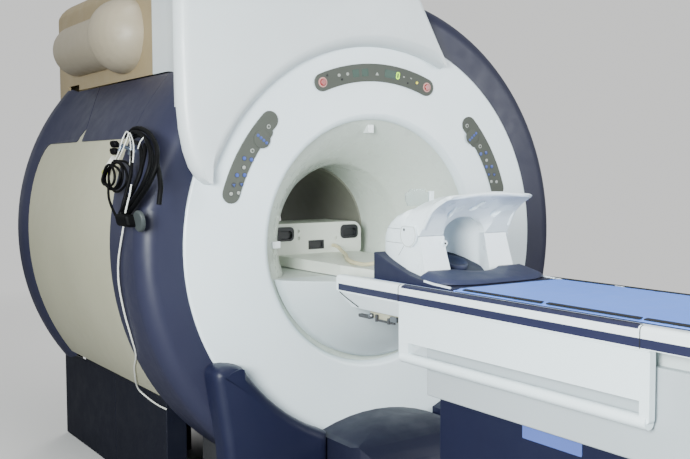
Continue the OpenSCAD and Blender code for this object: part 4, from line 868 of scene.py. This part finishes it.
def mattress():
    """A thin foam mat: a grid with rolled edges, faint waves and two shallow creases across."""
    across, along = 28, 88
    half = (MAT_HIGH.x - MAT_LOW.x) / 2
    y0, y1 = MAT_LOW.y, MAT_HIGH.y
    top, low = MAT_HIGH.z, MAT_LOW.z
    edge_roll = 0.010
    bm = bmesh.new()
    rows = []
    for j in range(along + 1):
        t = j / along
        y = y0 + (y1 - y0) * (t + 0.0035 * math.sin(2 * math.pi * t))
        row = []
        for i in range(across + 1):
            u = -1 + 2 * i / across
            u = math.copysign(abs(u) ** 0.75, u)
            x = half * u
            side = max(0.0, edge_roll - (half - abs(x))) / edge_roll
            end = max(0.0, edge_roll - min(y - y0, y1 - y)) / edge_roll
            drop = 0.0075 * (1 - math.sqrt(max(0.0, 1 - min(1.0, side**2 + end**2))))
            wave = 0.0004 * math.sin(9 * x + 3.1 * y) + 0.0003 * math.sin(23 * x - 7.3 * y)
            crease = sum(0.0011 * math.exp(-(((y - c - k * x) / 0.006) ** 2)) for c, k in CREASES)
            z = top - 0.0008 - drop + wave * (1 - side) * (1 - end) - crease
            row.append(bm.verts.new((x, y, z)))
        rows.append(row)
    for a, b in zip(rows, rows[1:]):
        for i in range(across):
            bm.faces.new((a[i], a[i + 1], b[i + 1], b[i]))
    rim = rows[0] + [r[-1] for r in rows[1:]] + rows[-1][-2::-1] + [r[0] for r in rows[-2:0:-1]]
    under = [bm.verts.new((v.co.x, v.co.y, low)) for v in rim]
    n = len(rim)
    for i in range(n):
        bm.faces.new((rim[(i + 1) % n], rim[i], under[i], under[(i + 1) % n]))
    bm.faces.new(under[::-1])
    piece = from_bmesh("mattress_skin", bm, "cradle_unit", vinyl, "mattress_vinyl", 60)
    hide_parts("mattress")


mattress()

PAD_HALF = 0.232
PAD_BASE = [(-1.390, 0.9860), (-1.420, 0.9840), (-1.470, 0.9785), (-1.520, 0.9762), (-1.562, 0.9742)]
PAD_TOP = [
    (-1.390, 1.0150), (-1.420, 1.0110), (-1.470, 1.0010), (-1.520, 0.9910), (-1.545, 0.9850),
    (-1.562, 0.9800),
]


def height_at(line, y):
    """The height at y on a line of (y, z) points that runs towards -Y."""
    for (y0, z0), (y1, z1) in zip(line, line[1:]):
        if y >= y1:
            return z0 + (z1 - z0) * (y0 - y) / (y0 - y1)
    return line[-1][1]


def shoulder_pad(across=40, along=10):
    """The crescent under the shoulders: a ramp with a hollow for the neck, thin towards its bowed front."""
    layers = []
    for top in (True, False):
        rows = []
        for j in range(along + 1):
            row = []
            for i in range(across + 1):
                u = 2 * i / across - 1
                x = PAD_HALF * u * (1 - 0.02 * (j / along) ** 4)
                hollow = 0.044 * max(0.0, 1 - (x / 0.100) ** 2) ** 0.8
                back = -1.398 - hollow
                front = -1.558 + 0.050 * abs(u) ** 5
                y = back + (front - back) * j / along
                edge = min(1.0, 7 * j / along + 0.55, 7 * (1 - j / along) + 0.35, 9 * (1 - abs(u)) + 0.35)
                low = height_at(PAD_BASE, y)
                row.append(Vector((x, y, low + (height_at(PAD_TOP, y) - low) * edge if top else low)))
            rows.append(row)
        layers.append(rows)
    bm = bmesh.new()
    high, low = ([[bm.verts.new(co) for co in row] for row in rows] for rows in layers)
    for j in range(along):
        for i in range(across):
            bm.faces.new((high[j][i], high[j + 1][i], high[j + 1][i + 1], high[j][i + 1]))
            bm.faces.new((low[j][i], low[j][i + 1], low[j + 1][i + 1], low[j + 1][i]))
    for i in range(across):
        bm.faces.new((high[0][i], high[0][i + 1], low[0][i + 1], low[0][i]))
        bm.faces.new((high[along][i + 1], high[along][i], low[along][i], low[along][i + 1]))
    for j in range(along):
        bm.faces.new((high[j + 1][0], high[j][0], low[j][0], low[j + 1][0]))
        bm.faces.new((high[j][across], high[j + 1][across], low[j + 1][across], low[j][across]))
    piece = from_bmesh("coil_pads_skin", bm, "cradle_unit", pad_vinyl, "pad_vinyl", 50)
    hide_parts("coil_pads")


def pillow():
    """The round head rest: a dish that leans towards the foot end."""
    lean = math.radians(17)
    rings = []
    for r, up in ((0.050, None), (0.0535, -0.012), (0.0545, -0.004), (0.0525, 0.001), (0.046, 0.001),
                  (0.038, -0.005), (0.024, -0.010), (0.006, -0.012)):
        ring = []
        for a in range(0, 360, 10):
            across, back = r * math.cos(math.radians(a)), r * math.sin(math.radians(a))
            lift = 0.9945 if up is None else 1.026 + up + back * math.sin(lean)
            ring.append(Vector((across, -1.288 + back * (1 if up is None else math.cos(lean)), lift)))
        rings.append(ring)
    lofted_piece("pillow_skin", rings, "cradle_unit", pad_vinyl, "pad_vinyl", 50)


shoulder_pad()
pillow()


# Seals behind the gap over the plinth

SEAL = [(-0.392, 0.4290), (0.600, 0.4290), (0.600, 0.4960), (-0.392, 0.4960)]
for side, hand in HALVES:
    stand = sideways(0.7465, 0.0, 0.0, side)
    plate_piece(f"plinth_seal_{hand}", SEAL, 0.0, 0.0024, stand, "magnet", plinth_paint, "navy_cover")


# Spare leads on the hook

pad_rubber = finish("grey rubber pad", (62, 68, 68), 0.6)


def ring_lead():
    """The thin lead's close turns below the hook, and its end down to the tie."""
    route = []
    for k in range(44):
        a = math.radians(205 - 41 * k)
        wide = 0.106 - 0.0011 * k
        high = 0.060 - 0.0006 * k
        z = 1.338 + high * math.sin(a)
        x = -0.990 - 0.0012 * k - 0.12 * max(0.0, 1.36 - z)
        y = -0.603 + wide * math.cos(a) - 0.010 * math.sin(k)
        route.append((x, y, z + 0.004 * math.sin(1.7 * k)))
    return route + [(-1.052, -0.640, 1.262), (-1.050, -0.664, 1.228), (-1.046, -0.690, 1.200)]


LOOPS = {
    "hank_outer": (0.0085, 4, [
        (-0.939, -0.557, 1.494), (-0.933, -0.582, 1.508), (-0.932, -0.643, 1.510), (-0.940, -0.739, 1.493),
        (-0.952, -0.821, 1.466), (-0.964, -0.880, 1.434), (-0.977, -0.913, 1.400), (-0.987, -0.925, 1.367),
        (-0.998, -0.911, 1.329), (-1.006, -0.882, 1.295), (-1.013, -0.839, 1.264), (-1.019, -0.794, 1.232),
        (-1.023, -0.751, 1.206)]),
    "hank_middle": (0.0085, 4, [
        (-0.932, -0.551, 1.472), (-0.926, -0.587, 1.485), (-0.927, -0.647, 1.484), (-0.936, -0.715, 1.466),
        (-0.948, -0.778, 1.438), (-0.959, -0.826, 1.406), (-0.972, -0.848, 1.373), (-0.984, -0.843, 1.335),
        (-0.992, -0.820, 1.300), (-1.000, -0.785, 1.266), (-1.006, -0.748, 1.234), (-1.011, -0.704, 1.202)]),
    "hank_inner": (0.0075, 4, [
        (-0.957, -0.756, 1.448), (-0.972, -0.790, 1.421), (-0.988, -0.812, 1.386), (-1.000, -0.812, 1.350),
        (-1.010, -0.800, 1.314), (-1.019, -0.776, 1.280), (-1.028, -0.748, 1.249), (-1.034, -0.716, 1.211)]),
    "hank_tail": (0.0085, 4, [
        (-0.971, -0.900, 1.376), (-0.978, -0.929, 1.352), (-0.985, -0.956, 1.326), (-0.991, -0.974, 1.296),
        (-0.997, -0.979, 1.270), (-1.001, -0.982, 1.246)]),
    "hank_rings": (0.0046, 3, ring_lead()),
    "strand_left": (0.0024, 4, [
        (-0.986, -0.530, 1.398), (-0.982, -0.556, 1.424), (-0.973, -0.567, 1.463), (-0.961, -0.576, 1.495),
        (-0.961, -0.602, 1.496), (-0.973, -0.655, 1.461), (-0.983, -0.683, 1.422), (-0.995, -0.706, 1.377)]),
    "strand_right": (0.0024, 4, [
        (-0.997, -0.592, 1.398), (-0.991, -0.622, 1.430), (-0.980, -0.634, 1.466), (-0.972, -0.640, 1.490),
        (-0.974, -0.662, 1.487), (-0.987, -0.722, 1.453), (-0.998, -0.750, 1.415), (-1.002, -0.752, 1.386)]),
    # The far strand is a short white strand in the black bundle. It is partly a white strand and partly a
    # painted highlight for the glints on the black jackets.
    "strand_far": (0.0022, 4, [
        (-0.962, -0.756, 1.474), (-0.974, -0.752, 1.456), (-0.986, -0.762, 1.434)]),
    "white_run": (0.0030, 4, [
        (-1.036, -0.824, 1.310), (-1.042, -0.824, 1.279), (-1.047, -0.814, 1.248), (-1.050, -0.798, 1.213)]),
}


def midway(first, second, share, out, count=12):
    """A route between two of the loops, and a little further out than they are."""
    route = []
    for k in range(count):
        spots = []
        for points in (first, second):
            t = k / (count - 1) * (len(points) - 1)
            i = min(int(t), len(points) - 2)
            spots.append(Vector(points[i]).lerp(Vector(points[i + 1]), t - i))
        route.append(tuple(spots[0].lerp(spots[1], share) + Vector((out, 0, 0))))
    return route


LOOPS["hank_over"] = (0.0080, 3, midway(LOOPS["hank_outer"][2], LOOPS["hank_middle"][2], 0.52, -0.0135))
LOOPS["hank_under"] = (0.0078, 3, midway(LOOPS["hank_middle"][2], LOOPS["hank_inner"][2], 0.55, -0.0125))
LOOPS["hank_across"] = (0.0060, 3, [
    (-0.985, -0.700, 1.428), (-0.994, -0.722, 1.392), (-1.004, -0.735, 1.352), (-1.013, -0.735, 1.312),
    (-1.022, -0.728, 1.272), (-1.032, -0.722, 1.232), (-1.038, -0.720, 1.205)])
for its_name, (its_r, its_per, its_route) in LOOPS.items():
    white_one = its_name.startswith(("strand", "white"))
    jacket = white_jacket if white_one else black_jacket
    its_slot = "lead_white" if white_one else "lead_black"
    its_piece, its_length = lead(its_name, its_route, its_r, its_per, "magnet", jacket)
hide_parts("black_leads")


def blob(name, outline, middle, depth, material, slot):
    """A soft flat piece against the front ring: its outline is in Y and Z about its middle, and it leans."""
    lean = 0.22
    place = Vector(middle)
    piece = plate_piece(
        name, outline, -depth / 2, depth / 2, lambda u, v, d: place + Vector((d - lean * v, u, v)), "magnet",
        material, slot,
    )
    return bevelled(piece, depth * 0.3, 4)


def pad_outline():
    turns = [math.radians(a) for a in range(0, 360, 15)]
    return [(0.044 * math.cos(a), 0.036 * math.sin(a) - 0.012 * math.cos(a)) for a in turns]


SLEEVE = ((-0.972, -0.474, 1.404), (-0.978, -0.452, 1.384), (-0.984, -0.424, 1.362))
CAP = ((-0.986, -0.432, 1.350), (-0.987, -0.402, 1.352))
olive_cap = finish("olive cap", (150, 156, 70), 0.4)
blob("hank_tie", rounded(0.110, 0.044, 0.012), (-1.030, -0.752, 1.184), 0.044, black_jacket, "lead_black")
blob("hank_pad", pad_outline(), (-1.012, -0.830, 1.184), 0.016, pad_rubber, "lead_black")
for k, (its_y, its_z) in enumerate(((-0.466, 1.456), (-0.462, 1.429))):
    middle = (-0.964, its_y, its_z)
    blob(f"hank_plug_{k}", rounded(0.050, 0.026, 0.012), middle, 0.022, black_jacket, "socket_black")
swept_piece("hook_sleeve", SLEEVE, circle(0.0105, 20), "magnet", white_jacket, "lead_white")
swept_piece("hook_cap", CAP, circle(0.0085, 20), "magnet", olive_cap, "lead_white")


# Head coil: rims and marks of the discs, strips under the pad, a knob, seams painted as dark shadow lines,
# visor's rim, mirror's post

PIVOT = Vector((0, -1.300, 1.130))
DISC_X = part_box("coil_arch")[1].x
DISC_FLAT = 0.655
DISC_RIM = ((0.0445, -0.0004), (0.0445, 0.0006), (0.0425, 0.0013), (0.0405, 0.0006), (0.0405, -0.0004))
PAD_STRIP = ((0.2320, -0.0060), (0.2362, -0.0060), (0.2362, 0.0010), (0.2320, 0.0010))
PAD_EDGE = ((-1.420, 0.9830), (-1.470, 0.9778), (-1.520, 0.9755), (-1.560, 0.9735))


def disc_ring(side, radius, out):
    """A circle round the pivot with a flat on top, at the face of the arch's disc."""
    ring = []
    for a in range(0, 360, 6):
        turn = math.radians(a)
        high = min(radius * math.cos(turn), radius * DISC_FLAT)
        ring.append(PIVOT + Vector((side * (DISC_X + out), radius * math.sin(turn), high)))
    return ring


for side, hand in HALVES:
    rings = [disc_ring(side, radius, out) for radius, out in DISC_RIM]
    lofted_piece(f"arch_disc_rim_{hand}", rings, "arch", frame_paint, "coil_white", 30, closed_ends=False)
    plate_piece(
        f"arch_disc_mark_{hand}", circle(0.005, 16), 0.0, 0.0012,
        lambda u, v, d: PIVOT + Vector((side * (DISC_X - 0.0002 + d), 0.022 + u, 0.016 + v)),
        "arch", socket_paint, "coil_white",
    )
    strip = [[Vector((side * x, y, z + dz)) for x, dz in PAD_STRIP] for y, z in PAD_EDGE]
    lofted_piece(f"pad_strip_{hand}", strip, "cradle_unit", coil_paint, "coil_white")

AXIS_X = Vector((1, 0, 0))
KNOB_X, KNOB_Z = -0.098, 1.098
KNOB = ((KNOB_X, -1.3512, KNOB_Z), (KNOB_X, -1.3640, KNOB_Z))
KNOB_MARK = ((KNOB_X, -1.3638, KNOB_Z), (KNOB_X, -1.3650, KNOB_Z))
swept_piece("coil_knob", KNOB, circle(0.011, 20), "cradle_unit", coil_paint, "coil_white", 35, AXIS_X)
swept_piece("coil_knob_mark", KNOB_MARK, circle(0.004, 14), "cradle_unit", socket_paint, "socket_black", 35,
            AXIS_X)

SEAMS = (
    ((-1.252, 1.146), (-1.150, 1.146)),
    ((-1.254, 1.096), (-1.136, 1.096)),
    ((-1.262, 1.090), (-1.226, 1.052)),
)
SEAM_R = 0.0007
SEAM_STEPS = 8
helmet_skin = surface_of("coil_helmet")
# Thin dark lines painted as the shadow in the helmet's seams.
for k, (seam_from, seam_to) in enumerate(SEAMS):
    for side, hand in HALVES:
        run = []
        for t in range(SEAM_STEPS + 1):
            its_y = seam_from[0] + (seam_to[0] - seam_from[0]) * t / SEAM_STEPS
            its_z = seam_from[1] + (seam_to[1] - seam_from[1]) * t / SEAM_STEPS
            hit = helmet_skin.ray_cast(Vector((side * 0.4, its_y, its_z)), Vector((-side, 0, 0)))[0]
            if hit is not None:
                run.append(hit)
        if len(run) > 2:
            seam = f"helmet_seam_{k}_{hand}"
            swept_piece(seam, run, circle(SEAM_R, 8), "cradle_unit", shadow_gap_paint, "coil_white")

RIM_R = 0.0078
FLANK = (
    (-0.066, 0.020), (-0.074, 0.034), (-0.084, 0.050), (-0.100, 0.074), (-0.118, 0.096), (-0.140, 0.109),
    (-0.165, 0.119), (-0.190, 0.127),
)
arch_skin = surface_of("coil_arch")


def rim_route():
    """The visor's open edge: up one side, over the front and down the other, just inside the moulding."""
    left = []
    for dy, dz in FLANK:
        hit = arch_skin.ray_cast(Vector((-0.4, PIVOT.y + dy, PIVOT.z + dz + 0.002)), AXIS_X)[0]
        if hit is not None:
            left.append(hit + Vector((0.0052, 0.0, 0.002)))
    over = []
    for k in range(-7, 8):
        hit = arch_skin.ray_cast(Vector((0.019 * k, PIVOT.y - 0.2030, 1.5)), Vector((0, 0, -1)))[0]
        if hit is not None:
            over.append(hit + Vector((0.0, 0.0, -0.0072)))
    return left + over + [Vector((-p.x, p.y, p.z)) for p in left[::-1]]


swept_piece("arch_rim", smooth_line(rim_route(), 4), circle(RIM_R, 16), "arch", coil_paint, "coil_white", 60)
post = plate_piece(
    "mirror_post", rounded(0.0195, 0.042, 0.002), -0.0056, 0.0056,
    lambda u, v, d: Vector((-0.044 + u, -1.215 + d, 1.256 + v)), "mirror", coil_paint, "coil_white",
)
bevelled(post, 0.001)
